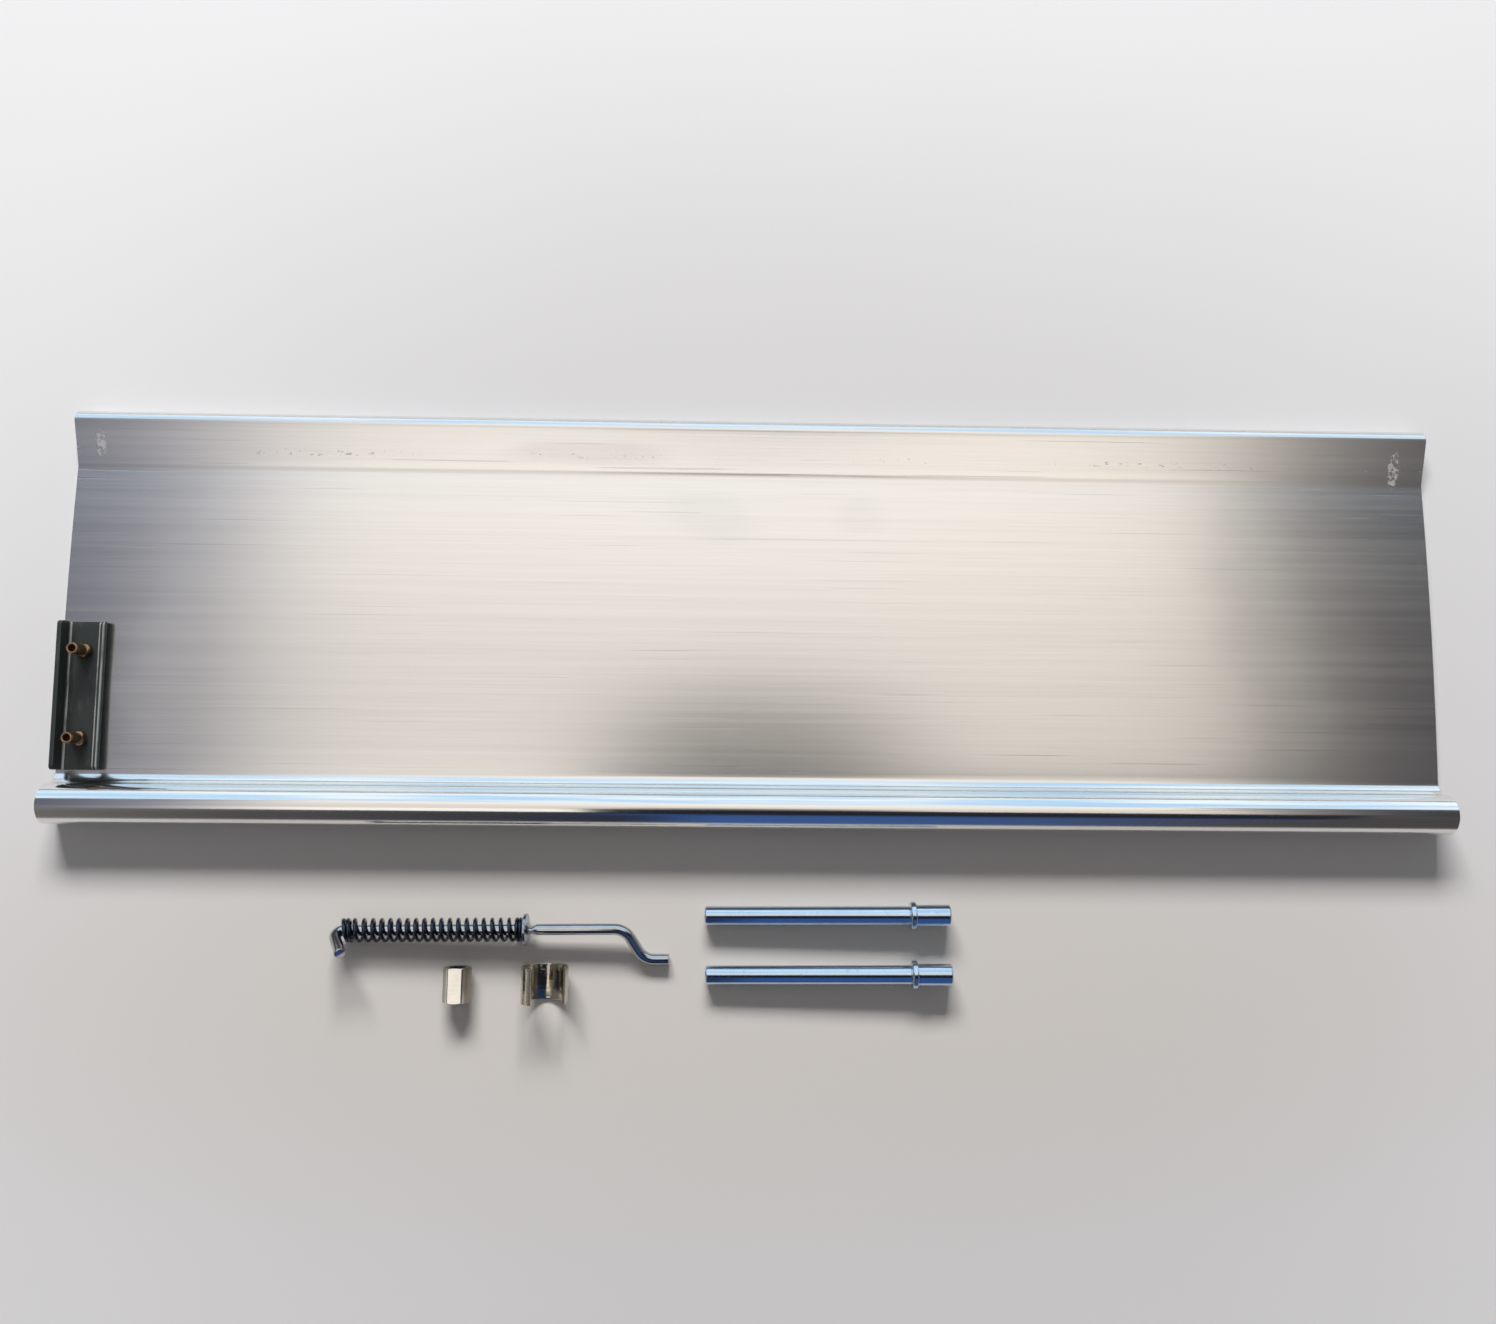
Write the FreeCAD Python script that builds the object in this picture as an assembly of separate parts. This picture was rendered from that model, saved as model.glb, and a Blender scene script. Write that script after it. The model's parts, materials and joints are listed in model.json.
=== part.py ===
import FreeCAD, Part
import math
import os

# Hinged aluminium flap with its loose hinge and latch hardware, laid out as a kit.
# The origin is on the hinge axis, half way along the flap. +X runs along the hinge axis,
# +Y from the hinge tube towards the raised lip, +Z up. Everything rests on z = FLOOR.

# Flap extrusion
FLAP_LENGTH = 813.0
TUBE_DIAMETER = 23.3
PLATE_THICKNESS = 4.2
PLATE_WIDTH = 181.0
PLATE_CROWN = 2.0
NECK_FILLET = 7.3
LIP_LENGTH = 26.3
LIP_ANGLE = 16.6

# Channel bracket on the flap's left end
BRACKET_LENGTH = 86.0
BRACKET_WIDTH = 23.6
BRACKET_WALL = 2.5
BRACKET_BEND = 1.2
TALL_FLANGE = 12.2
SHORT_FLANGE = 6.5
FLANGE_CORNER = 2.5
BRACKET_INSET = 2.9
BRACKET_GAP = 0.5

# Bulbed blind rivets that hold the bracket
RIVET_SPACING = 51.0
RIVET_SHIFT = 0.7
RIVET_SHANK = 6.6
RIVET_STEM = 6.4
RIVET_BORE = 4.0
RIVET_HEAD = 10.6
RIVET_HEAD_ANGLE = 120.0
RIVET_BULB = 9.6
RIVET_BULB_HEIGHT = 4.6
RIVET_TAIL = 15.0
MANDREL_BREAK = 4.5

# Hinge pins
PIN_LONG_DIAMETER = 11.1
PIN_LONG_LENGTH = 118.6
PIN_COLLAR_DIAMETER = 16.3
PIN_COLLAR_WIDTH = 3.4
PIN_STUB_DIAMETER = 12.7
PIN_STUB_LENGTH = 20.0
PIN_CHAMFER = 0.8

# Latch rod, its spring and its washer
ROD_DIAMETER = 6.35
ROD_STRAIGHT = 167.0
ROD_OFFSET = 19.4
ROD_CRANK_ANGLE = 62.0
ROD_TIP_LENGTH = 14.6
ROD_CRANK_BEND = 10.5
LEG_LENGTH = 21.3
LEG_ANGLE = 63.0
LEG_LEAN = 36.0
LEG_BEND = 4.2
SPRING_DIAMETER = 13.8
SPRING_WIRE = 2.0
SPRING_LENGTH = 102.2
SPRING_TURNS = 21
WASHER_DIAMETER = 18.0
WASHER_THICKNESS = 1.6
STAKE_LENGTH = 5.0
STAKE_EAR = 1.5
STAKE_THICKNESS = 4.6

# Hexagonal spacer
SPACER_ACROSS_FLATS = 14.3
SPACER_LENGTH = 19.6
SPACER_BORE = 9.8
SPACER_CHAMFER = 0.9

# Spring clip that snaps over the hinge tube
CLIP_WALL = 1.5
CLIP_LENGTH = 20.5
CLIP_OPENING = 94.0
CLIP_ROLL = 20.0

# Clearances, all on the radius or from face to face
HINGE_CLEARANCE = 0.05
RIVET_HOLE_CLEARANCE = 0.06
MANDREL_CLEARANCE = 0.02
RIVET_SEAT_GAP = 0.03
RIVET_HEAD_RECESS = 0.15
WASHER_CLEARANCE = 0.3
SPRING_GAP = 0.1
CLIP_CLEARANCE = 0.1

# Where the loose pieces lie: X and Y of a reference point, and the turn about +Z
PIN_PLACES = {"hinge_pin_a": (-29.3, -61.4, 0.5), "hinge_pin_b": (-28.6, -94.9, 0.5)}
ROD_PLACE = (-241.8, -70.7, 0.7)
SPACER_PLACE = (-170.0, -100.5, 0.0)
CLIP_PLACE = (-119.4, -99.2, 0.0)

# Values that follow from the ones above
TUBE_RADIUS = TUBE_DIAMETER / 2
FLOOR = -TUBE_RADIUS
PLATE_TOP = FLOOR + PLATE_THICKNESS
HINGE_BORE_RADIUS = PIN_LONG_DIAMETER / 2 + HINGE_CLEARANCE
FILLET_HEIGHT = PLATE_TOP + NECK_FILLET
NECK_Y = math.sqrt((TUBE_RADIUS + NECK_FILLET) ** 2 - FILLET_HEIGHT ** 2)
FOLD_Y = NECK_Y + PLATE_WIDTH
CROWN_RADIUS = (PLATE_WIDTH ** 2 / 4 + PLATE_CROWN ** 2) / (2 * PLATE_CROWN)
CROWN_CENTRE_Y = NECK_Y + PLATE_WIDTH / 2
CROWN_CENTRE_Z = PLATE_TOP + PLATE_CROWN - CROWN_RADIUS
LIP_SLOPE = math.radians(LIP_ANGLE)
BEAD_RADIUS = (LIP_LENGTH * math.sin(LIP_SLOPE) + PLATE_THICKNESS) / (1 + math.cos(LIP_SLOPE))
LEG_TURN = math.radians(LEG_ANGLE)
LEG_REACH = (SPRING_DIAMETER * math.cos(LEG_TURN) + ROD_DIAMETER) / (2 * math.sin(LEG_TURN))
SPRING_START = LEG_REACH + SPRING_GAP
WASHER_START = SPRING_START + SPRING_LENGTH + SPRING_GAP
STAKE_START = WASHER_START + WASHER_THICKNESS + SPRING_GAP
STAKE_WIDTH = ROD_DIAMETER + 2 * STAKE_EAR
TIP_START = ROD_STRAIGHT + ROD_OFFSET / math.tan(math.radians(ROD_CRANK_ANGLE))
SPACER_CORNER = SPACER_ACROSS_FLATS / math.sqrt(3)
CLIP_BORE_RADIUS = TUBE_RADIUS + CLIP_CLEARANCE
X_AXIS = FreeCAD.Vector(1, 0, 0)
Y_AXIS = FreeCAD.Vector(0, 1, 0)
Z_AXIS = FreeCAD.Vector(0, 0, 1)


def vec(x, y, z):
    return FreeCAD.Vector(x, y, z)


def solid_of(shape):
    """The single solid inside a boolean's result."""
    if len(shape.Solids) != 1:
        raise ValueError("expected one solid, found %d" % len(shape.Solids))
    return shape.Solids[0]


def cylinder(radius, start, direction, length):
    return Part.makeCylinder(radius, length, start, direction)


def revolve_about_z(outline):
    """Turn (radius, height) points about +Z."""
    wire = Part.makePolygon([vec(r, 0, z) for r, z in outline + outline[:1]])
    return solid_of(Part.Face(wire).revolve(vec(0, 0, 0), Z_AXIS, 360))


def revolve_about_x(outline):
    """Turn (position, radius) points about +X."""
    wire = Part.makePolygon([vec(x, 0, r) for x, r in outline + outline[:1]])
    return solid_of(Part.Face(wire).revolve(vec(0, 0, 0), X_AXIS, 360))


def bent_path(points, radii):
    """Straight runs through the points, joined by tangent arcs of the given radii."""
    edges = []
    start = points[0]
    for before, corner, after, radius in zip(points, points[1:], points[2:], radii):
        back = (before - corner).normalize()
        ahead = (after - corner).normalize()
        half_turn = (math.pi - back.getAngle(ahead)) / 2
        reach = radius * math.tan(half_turn)
        arc_start = corner + back * reach
        arc_end = corner + ahead * reach
        inward = (back + ahead).normalize()
        arc_middle = corner + inward * (radius / math.cos(half_turn) - radius)
        edges.append(Part.LineSegment(start, arc_start).toShape())
        edges.append(Part.Arc(arc_start, arc_middle, arc_end).toShape())
        start = arc_end
    edges.append(Part.LineSegment(start, points[-1]).toShape())
    return Part.Wire(edges)


def edges_where(shape, test):
    """The edges whose bounding box passes the test."""
    return [edge for edge in shape.Edges if test(edge.BoundBox)]


def crown_drop(distance):
    """How far the crowned plate falls away from a plane that touches it, at a distance."""
    return CROWN_RADIUS - math.sqrt(CROWN_RADIUS ** 2 - distance ** 2)


def bracket_frame():
    """The bracket's place: tangent to the crowned plate at the middle of its length."""
    middle_y = NECK_Y + BRACKET_GAP + BRACKET_LENGTH / 2
    across = middle_y - CROWN_CENTRE_Y
    middle_z = CROWN_CENTRE_Z + math.sqrt(CROWN_RADIUS ** 2 - across ** 2)
    slope = -math.degrees(math.asin(across / CROWN_RADIUS))
    origin = vec(-FLAP_LENGTH / 2 + BRACKET_INSET, middle_y, middle_z)
    return FreeCAD.Placement(origin, FreeCAD.Rotation(X_AXIS, slope))


def flap_profile():
    """Cross-section in the YZ plane: hinge tube, filleted neck, crowned plate, lip and bead."""
    x = -FLAP_LENGTH / 2
    fillet_centre = vec(x, NECK_Y, FILLET_HEIGHT)
    share = TUBE_RADIUS / (TUBE_RADIUS + NECK_FILLET)
    tube_end = vec(x, NECK_Y * share, FILLET_HEIGHT * share)
    neck = vec(x, NECK_Y, PLATE_TOP)
    fillet_turn = math.radians(45)
    fillet_middle = fillet_centre - vec(0, math.sin(fillet_turn), math.cos(fillet_turn)) * NECK_FILLET
    fold = vec(x, FOLD_Y, PLATE_TOP)
    crown_top = vec(x, CROWN_CENTRE_Y, PLATE_TOP + PLATE_CROWN)
    along_lip = vec(0, math.cos(LIP_SLOPE), math.sin(LIP_SLOPE))
    off_lip = vec(0, -math.sin(LIP_SLOPE), math.cos(LIP_SLOPE))
    lip_end = fold + along_lip * LIP_LENGTH
    bead_centre = lip_end - off_lip * BEAD_RADIUS
    bead_outside = bead_centre + along_lip * BEAD_RADIUS
    under_reach = math.sqrt(BEAD_RADIUS ** 2 - (BEAD_RADIUS - PLATE_THICKNESS) ** 2)
    bead_inside = lip_end - off_lip * PLATE_THICKNESS - along_lip * under_reach
    under_fold_y = FOLD_Y + PLATE_THICKNESS * math.tan(LIP_SLOPE / 2)
    under_fold = vec(x, under_fold_y, FLOOR)
    under_neck = vec(x, NECK_Y, FLOOR)
    under_crown = vec(x, (NECK_Y + under_fold_y) / 2, FLOOR + PLATE_CROWN)
    tube_bottom = vec(x, 0, FLOOR)
    tube_left = vec(x, -TUBE_RADIUS, 0)
    edges = [
        Part.Arc(tube_bottom, tube_left, tube_end).toShape(),
        Part.Arc(tube_end, fillet_middle, neck).toShape(),
        Part.Arc(neck, crown_top, fold).toShape(),
        Part.LineSegment(fold, lip_end).toShape(),
        Part.Arc(lip_end, bead_outside, bead_inside).toShape(),
        Part.LineSegment(bead_inside, under_fold).toShape(),
        Part.Arc(under_fold, under_crown, under_neck).toShape(),
        Part.LineSegment(under_neck, tube_bottom).toShape(),
    ]
    return Part.Face(Part.Wire(edges))


def rivet_spots():
    """Where the rivets stand on the bracket's underside, in the bracket's own frame."""
    return [vec(BRACKET_WIDTH / 2, side * RIVET_SPACING / 2 + RIVET_SHIFT, 0) for side in (1, -1)]


def rivet_head_bottom():
    """Height of the rivet heads' flat faces below the bracket, just inside the plate's underside."""
    return -(PLATE_THICKNESS + crown_drop(RIVET_SPACING / 2 + RIVET_SHIFT)) + RIVET_HEAD_RECESS


def countersink(shank_radius, head_radius, low):
    """Cone of a flush head, from its flat face down to the shank."""
    depth = (head_radius - shank_radius) / math.tan(math.radians(RIVET_HEAD_ANGLE / 2))
    return [(head_radius, low), (shank_radius, low + depth)]


def rivet_hole():
    """The stepped hole that a rivet's shank and flush head fill, with its clearance."""
    shank = RIVET_SHANK / 2 + RIVET_HOLE_CLEARANCE
    head = RIVET_HEAD / 2 + RIVET_HOLE_CLEARANCE
    low = rivet_head_bottom()
    outline = countersink(shank, head, low)
    below = low - PLATE_THICKNESS
    above = BRACKET_WALL * 2
    outline = [(0, below), (head, below)] + outline + [(shank, above), (0, above)]
    return revolve_about_z(outline)


def rivet_holes():
    holes = []
    for spot in rivet_spots():
        hole = rivet_hole()
        hole.translate(spot)
        holes.append(hole)
    return holes


def flap_panel():
    body = flap_profile().extrude(vec(FLAP_LENGTH, 0, 0))
    body = body.cut(cylinder(HINGE_BORE_RADIUS, vec(-FLAP_LENGTH, 0, 0), X_AXIS, FLAP_LENGTH * 2))
    for hole in rivet_holes():
        hole.Placement = bracket_frame().multiply(hole.Placement)
        body = body.cut(hole)
    return solid_of(body)


def channel_bracket():
    """Bent channel with one tall and one short flange, its flange ends rounded."""
    w, t, half = BRACKET_WIDTH, BRACKET_WALL, BRACKET_LENGTH / 2
    section = [
        (0, 0), (w, 0), (w, SHORT_FLANGE), (w - t, SHORT_FLANGE),
        (w - t, t), (t, t), (t, TALL_FLANGE), (0, TALL_FLANGE),
    ]
    wire = Part.makePolygon([vec(x, -half, z) for x, z in section + section[:1]])
    body = Part.Face(wire).extrude(vec(0, 2 * half, 0))
    outer = edges_where(body, lambda b: b.YLength > half and b.ZMax < 1e-6)
    body = body.makeFillet(BRACKET_BEND + t, outer)
    inner = edges_where(
        body, lambda b: b.YLength > half and abs(b.ZMax - t) < 1e-6 and abs(b.ZMin - t) < 1e-6
        and t - 1e-6 < b.XMin < w - t + 1e-6)
    body = body.makeFillet(BRACKET_BEND, inner)
    corners = edges_where(
        body, lambda b: abs(b.XLength - t) < 1e-6 and b.YLength < 1e-6 and b.ZLength < 1e-6
        and b.ZMin > SHORT_FLANGE - 1e-6)
    body = body.makeFillet(FLANGE_CORNER, corners)
    for hole in rivet_holes():
        body = body.cut(hole)
    body.Placement = bracket_frame()
    return solid_of(body)


def rivet_sleeve(spot):
    """Flush-headed rivet body with a folded bulb above the bracket and a hollow tail."""
    shank, stem, bore = RIVET_SHANK / 2, RIVET_STEM / 2, RIVET_BORE / 2
    low = rivet_head_bottom()
    seat = BRACKET_WALL + RIVET_SEAT_GAP
    bulb_top = seat + RIVET_BULB_HEIGHT
    tip = BRACKET_WALL + RIVET_TAIL
    rim = (stem - bore) / 2
    head_bottom, head_top = countersink(shank, RIVET_HEAD / 2, low)
    outline = [
        vec(bore, 0, low), vec(head_bottom[0], 0, low), vec(shank, 0, head_top[1]), vec(shank, 0, seat),
    ]
    edges = [Part.LineSegment(a, b).toShape() for a, b in zip(outline, outline[1:])]
    bulb_middle = vec(RIVET_BULB / 2, 0, seat + RIVET_BULB_HEIGHT / 2)
    bulb_end = vec(stem, 0, bulb_top)
    edges.append(Part.Arc(outline[-1], bulb_middle, bulb_end).toShape())
    edges.append(Part.LineSegment(bulb_end, vec(stem, 0, tip - rim)).toShape())
    mouth = vec(bore, 0, tip - rim)
    edges.append(Part.Arc(vec(stem, 0, tip - rim), vec(stem - rim, 0, tip), mouth).toShape())
    edges.append(Part.LineSegment(mouth, outline[0]).toShape())
    body = solid_of(Part.Face(Part.Wire(edges)).revolve(vec(0, 0, 0), Z_AXIS, 360))
    body.Placement = bracket_frame().multiply(FreeCAD.Placement(spot, FreeCAD.Rotation()))
    return body


def rivet_mandrel(spot):
    """The broken mandrel left inside a rivet: a plain stem that ends below the tail's mouth."""
    low = rivet_head_bottom()
    radius = RIVET_BORE / 2 - MANDREL_CLEARANCE
    length = BRACKET_WALL + RIVET_TAIL - MANDREL_BREAK - low
    body = cylinder(radius, vec(0, 0, low), Z_AXIS, length)
    body.Placement = bracket_frame().multiply(FreeCAD.Placement(spot, FreeCAD.Rotation()))
    return body


def pin_tilt():
    """A pin rests on the rim of its long end and on its collar, so its axis rises a little."""
    rise = (PIN_COLLAR_DIAMETER - PIN_LONG_DIAMETER) / 2
    return math.atan(rise / (PIN_LONG_LENGTH + PIN_COLLAR_WIDTH / 2 - PIN_CHAMFER))


def pin_frame(name):
    """A pin's place, from its long end: turned about +Z, tilted up and resting on the floor."""
    x, y, turn = PIN_PLACES[name]
    tilt = pin_tilt()
    height = PIN_LONG_DIAMETER / 2 * math.cos(tilt) - PIN_CHAMFER * math.sin(tilt)
    lay = FreeCAD.Rotation(Z_AXIS, turn).multiply(FreeCAD.Rotation(Y_AXIS, -math.degrees(tilt)))
    return FreeCAD.Placement(vec(x, y, FLOOR + height), lay)


def hinge_pin(name):
    """Turned pin: long journal, rounded collar and a thicker stub."""
    long_r, stub_r, collar_r = PIN_LONG_DIAMETER / 2, PIN_STUB_DIAMETER / 2, PIN_COLLAR_DIAMETER / 2
    c = PIN_CHAMFER
    end = PIN_LONG_LENGTH + PIN_COLLAR_WIDTH + PIN_STUB_LENGTH
    body = revolve_about_x([
        (0, 0), (0, long_r - c), (c, long_r), (PIN_LONG_LENGTH + c, long_r),
        (PIN_LONG_LENGTH + c, stub_r), (end - c, stub_r), (end, stub_r - c), (end, 0),
    ])
    collar = cylinder(collar_r, vec(PIN_LONG_LENGTH, 0, 0), X_AXIS, PIN_COLLAR_WIDTH)
    rims = edges_where(collar, lambda b: b.XLength < 1e-6)
    collar = collar.makeFillet(PIN_COLLAR_WIDTH * 0.45, rims)
    body = solid_of(body.fuse(collar))
    body.Placement = pin_frame(name)
    return body


def rod_tilt():
    """The rod's spring and washer both rest on the floor, so the thicker washer lifts its end."""
    rise = (WASHER_DIAMETER - SPRING_DIAMETER) / 2
    return math.atan(rise / (WASHER_START - SPRING_START))


def rod_height():
    """Height of the rod's axis above the floor, at the bend of its leg."""
    tilt = rod_tilt()
    return SPRING_DIAMETER / 2 * math.cos(tilt) - SPRING_START * math.sin(tilt)


def crank_drop_angle():
    """Angle of the crank below the horizontal that lets the rod's tip touch the floor."""
    tilt = rod_tilt()
    spare = rod_height() + TIP_START * math.sin(tilt) - ROD_DIAMETER / 2 * math.cos(tilt)
    return math.asin(spare / (ROD_OFFSET * math.cos(tilt)))


def rod_frame():
    """The rod's place: +X along its straight length, from the bend of its leg."""
    x, y, turn = ROD_PLACE
    lay = FreeCAD.Rotation(Z_AXIS, turn).multiply(FreeCAD.Rotation(Y_AXIS, -math.degrees(rod_tilt())))
    return FreeCAD.Placement(vec(x, y, FLOOR + rod_height()), lay)


def crank_offset():
    """Sideways shift of the rod's tip, in the rod's own frame."""
    drop = crank_drop_angle()
    return vec(0, -math.cos(drop), -math.sin(drop)) * ROD_OFFSET


def rod_points():
    """Corners of the rod's centre line, in the rod's own frame."""
    lean = math.radians(LEG_LEAN)
    away = vec(0, -math.sin(lean), math.cos(lean))
    leg = X_AXIS * math.cos(LEG_TURN) + away * math.sin(LEG_TURN)
    shift = crank_offset()
    return [
        leg * LEG_LENGTH,
        vec(0, 0, 0),
        vec(ROD_STRAIGHT, 0, 0),
        vec(TIP_START, 0, 0) + shift,
        vec(TIP_START + ROD_TIP_LENGTH, 0, 0) + shift,
    ]


def spring_rod():
    """Round rod with a bent leg at one end, a crank at the other, and a staked stop."""
    points = rod_points()
    path = bent_path(points, [LEG_BEND, ROD_CRANK_BEND, ROD_CRANK_BEND])
    radius = ROD_DIAMETER / 2
    direction = points[1] - points[0]
    profile = Part.Wire(Part.makeCircle(radius, points[0], direction))
    body = path.makePipeShell([profile], True, True)
    middle = STAKE_START + STAKE_LENGTH / 2
    waist_radius = STAKE_LENGTH
    for side in (1, -1):
        centre_y = side * (STAKE_THICKNESS / 2 + waist_radius)
        start = vec(middle, centre_y, -STAKE_WIDTH)
        body = body.cut(cylinder(waist_radius, start, Z_AXIS, 2 * STAKE_WIDTH))
    corner = vec(STAKE_START, -STAKE_THICKNESS / 2, -STAKE_WIDTH / 2)
    ears = Part.makeBox(STAKE_LENGTH, STAKE_THICKNESS, STAKE_WIDTH, corner)
    ears = ears.makeFillet(STAKE_THICKNESS * 0.3, ears.Edges)
    body = solid_of(body.fuse(ears))
    body.Placement = rod_frame().multiply(body.Placement)
    return body


def compression_spring():
    """Round-wire spring, wound evenly from the leg to the washer."""
    mean_radius = (SPRING_DIAMETER - SPRING_WIRE) / 2
    rise = SPRING_LENGTH - SPRING_WIRE
    helix = Part.makeHelix(rise / SPRING_TURNS, rise, mean_radius)
    start = vec(mean_radius, 0, 0)
    profile = Part.Wire(Part.makeCircle(SPRING_WIRE / 2, start, Y_AXIS))
    body = Part.Wire(helix).makePipeShell([profile], True, True)
    stand = FreeCAD.Placement(vec(SPRING_START + SPRING_WIRE / 2, 0, 0), FreeCAD.Rotation(Y_AXIS, 90))
    body.Placement = rod_frame().multiply(stand)
    return solid_of(body)


def spring_washer():
    bore = ROD_DIAMETER / 2 + WASHER_CLEARANCE
    start = vec(WASHER_START, 0, 0)
    body = cylinder(WASHER_DIAMETER / 2, start, X_AXIS, WASHER_THICKNESS)
    body = body.cut(cylinder(bore, start, X_AXIS, WASHER_THICKNESS))
    body.Placement = rod_frame()
    return solid_of(body)


def hex_spacer():
    """Hexagonal sleeve lying on one flat, its ends chamfered all round."""
    low = SPACER_LENGTH / 2
    corners = []
    for turn in range(0, 361, 60):
        angle = math.radians(turn)
        corners.append(vec(math.cos(angle), 0, math.sin(angle)) * SPACER_CORNER - vec(0, low, 0))
    body = Part.Face(Part.makePolygon(corners)).extrude(vec(0, SPACER_LENGTH, 0))
    rim = SPACER_CORNER - SPACER_CHAMFER
    shoulder = low - SPACER_CHAMFER / 2
    turned = revolve_about_z([
        (0, -low), (rim, -low), (SPACER_CORNER, -shoulder),
        (SPACER_CORNER, shoulder), (rim, low), (0, low),
    ])
    turned.rotate(vec(0, 0, 0), X_AXIS, 90)
    body = body.common(turned)
    body = body.cut(cylinder(SPACER_BORE / 2, vec(0, -SPACER_LENGTH, 0), Y_AXIS, SPACER_LENGTH * 2))
    x, y, turn = SPACER_PLACE
    place = vec(x, y, FLOOR + SPACER_ACROSS_FLATS / 2)
    body.Placement = FreeCAD.Placement(place, FreeCAD.Rotation(Z_AXIS, turn))
    return solid_of(body)


def tube_clip():
    """Open ring of spring steel that snaps over the hinge tube beside its neck."""
    inner = CLIP_BORE_RADIUS
    outer = inner + CLIP_WALL
    half_open = math.radians(CLIP_OPENING / 2)

    def rim(radius, angle):
        return vec(radius * math.sin(angle), -CLIP_LENGTH / 2, radius * math.cos(angle))

    bottom = math.pi
    edges = [
        Part.Arc(rim(inner, half_open), rim(inner, bottom), rim(inner, -half_open)).toShape(),
        Part.LineSegment(rim(inner, -half_open), rim(outer, -half_open)).toShape(),
        Part.Arc(rim(outer, -half_open), rim(outer, bottom), rim(outer, half_open)).toShape(),
        Part.LineSegment(rim(outer, half_open), rim(inner, half_open)).toShape(),
    ]
    body = Part.Face(Part.Wire(edges)).extrude(vec(0, CLIP_LENGTH, 0))
    x, y, turn = CLIP_PLACE
    lay = FreeCAD.Rotation(Z_AXIS, turn).multiply(FreeCAD.Rotation(Y_AXIS, CLIP_ROLL))
    body.Placement = FreeCAD.Placement(vec(x, y, FLOOR + outer), lay)
    return solid_of(body)


def build():
    """Every node's name and solid."""
    nodes = {
        "flap_panel": flap_panel(),
        "channel_bracket": channel_bracket(),
        "spring_rod": spring_rod(),
        "compression_spring": compression_spring(),
        "spring_washer": spring_washer(),
        "hex_spacer": hex_spacer(),
        "tube_clip": tube_clip(),
    }
    for number, spot in enumerate(rivet_spots(), 1):
        nodes["rivet_sleeve_%d" % number] = rivet_sleeve(spot)
        nodes["rivet_mandrel_%d" % number] = rivet_mandrel(spot)
    for name in PIN_PLACES:
        nodes[name] = hinge_pin(name)
    return nodes


os.makedirs("parts", exist_ok=True)
for node, shape in build().items():
    shape.exportStep("parts/%s.step" % node)
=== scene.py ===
import json
import math

import bmesh
import bpy
from bpy.props import FloatProperty, FloatVectorProperty, PointerProperty
from mathutils import Euler, Matrix, Vector


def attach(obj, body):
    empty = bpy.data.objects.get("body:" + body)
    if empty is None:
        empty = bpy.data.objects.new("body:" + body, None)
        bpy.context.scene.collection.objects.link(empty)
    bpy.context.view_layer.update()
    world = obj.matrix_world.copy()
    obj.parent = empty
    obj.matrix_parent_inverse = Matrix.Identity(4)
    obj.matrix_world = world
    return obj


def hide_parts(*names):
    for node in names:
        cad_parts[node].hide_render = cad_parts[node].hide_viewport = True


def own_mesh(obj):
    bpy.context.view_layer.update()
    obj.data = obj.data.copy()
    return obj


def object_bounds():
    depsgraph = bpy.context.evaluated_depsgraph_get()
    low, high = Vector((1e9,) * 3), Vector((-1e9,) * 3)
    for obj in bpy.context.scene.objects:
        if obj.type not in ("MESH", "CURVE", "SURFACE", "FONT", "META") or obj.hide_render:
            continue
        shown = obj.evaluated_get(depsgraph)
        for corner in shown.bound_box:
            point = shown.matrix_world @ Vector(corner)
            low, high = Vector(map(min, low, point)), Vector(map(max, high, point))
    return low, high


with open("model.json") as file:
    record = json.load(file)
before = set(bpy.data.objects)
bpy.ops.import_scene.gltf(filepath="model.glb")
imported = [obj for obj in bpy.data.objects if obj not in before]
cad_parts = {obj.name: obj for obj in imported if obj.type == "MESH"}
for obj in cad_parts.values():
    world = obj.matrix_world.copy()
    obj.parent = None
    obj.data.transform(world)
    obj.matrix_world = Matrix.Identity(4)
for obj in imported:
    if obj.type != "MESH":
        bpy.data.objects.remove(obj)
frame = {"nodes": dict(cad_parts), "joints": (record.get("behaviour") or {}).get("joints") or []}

bl_info = {
    "name": "Hinged Flap Kit",
    "version": (1, 0, 0),
    "blender": (4, 5, 0),
    "location": "3D View > Sidebar > Flap Kit",
    "description": "Builds an extruded aluminium flap, its riveted bracket and its loose hardware",
    "category": "Object",
}

CAD_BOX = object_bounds()
FLOOR = CAD_BOX[0].z
MM = 0.001
TUBE_STEPS, FILLET_STEPS, CROWN_STEPS, LIP_STEPS, BEAD_STEPS = 110, 16, 90, 12, 60
UNDER_STEPS, SPAN_STEPS = 60, 24
CORNER_STEPS, BEND_STEPS = 9, 10
LATHE_SIDES, RIVET_SIDES, SPACER_SIDES = 96, 96, 144
ROD_AT, ROD_TURN = (-0.2418, -0.0707), 0.7
PINS_AT, PIN_TURN = {"a": (-0.0293, -0.0614), "b": (-0.0286, -0.0949)}, 0.5
SPACER_AT = (-0.170, -0.1005)
CLIP_AT = (-0.1194, -0.0992)
STAGE_HALF = 4.0
WINDOW_AT, WINDOW_AIM, WINDOW_SIZE = (-0.63, 4.68, 2.7), (0, 0.05, 0), (3.06, 1.08)
CAMERA_AT, CAMERA_TURN = (-0.021711, 0.009353, 0.679980), (6.4103, -1.4021, 0.4954)


# ---------------------------------------------------------------- sizes and colours

def length(name, description, millimetres):
    """A size in metres, given here in millimetres."""
    return FloatProperty(name=name, description=description, default=millimetres * MM,
                         unit="LENGTH", subtype="DISTANCE", precision=5)


def angle(name, description, degrees):
    return FloatProperty(name=name, description=description, default=math.radians(degrees),
                         unit="ROTATION", subtype="ANGLE")


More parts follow.
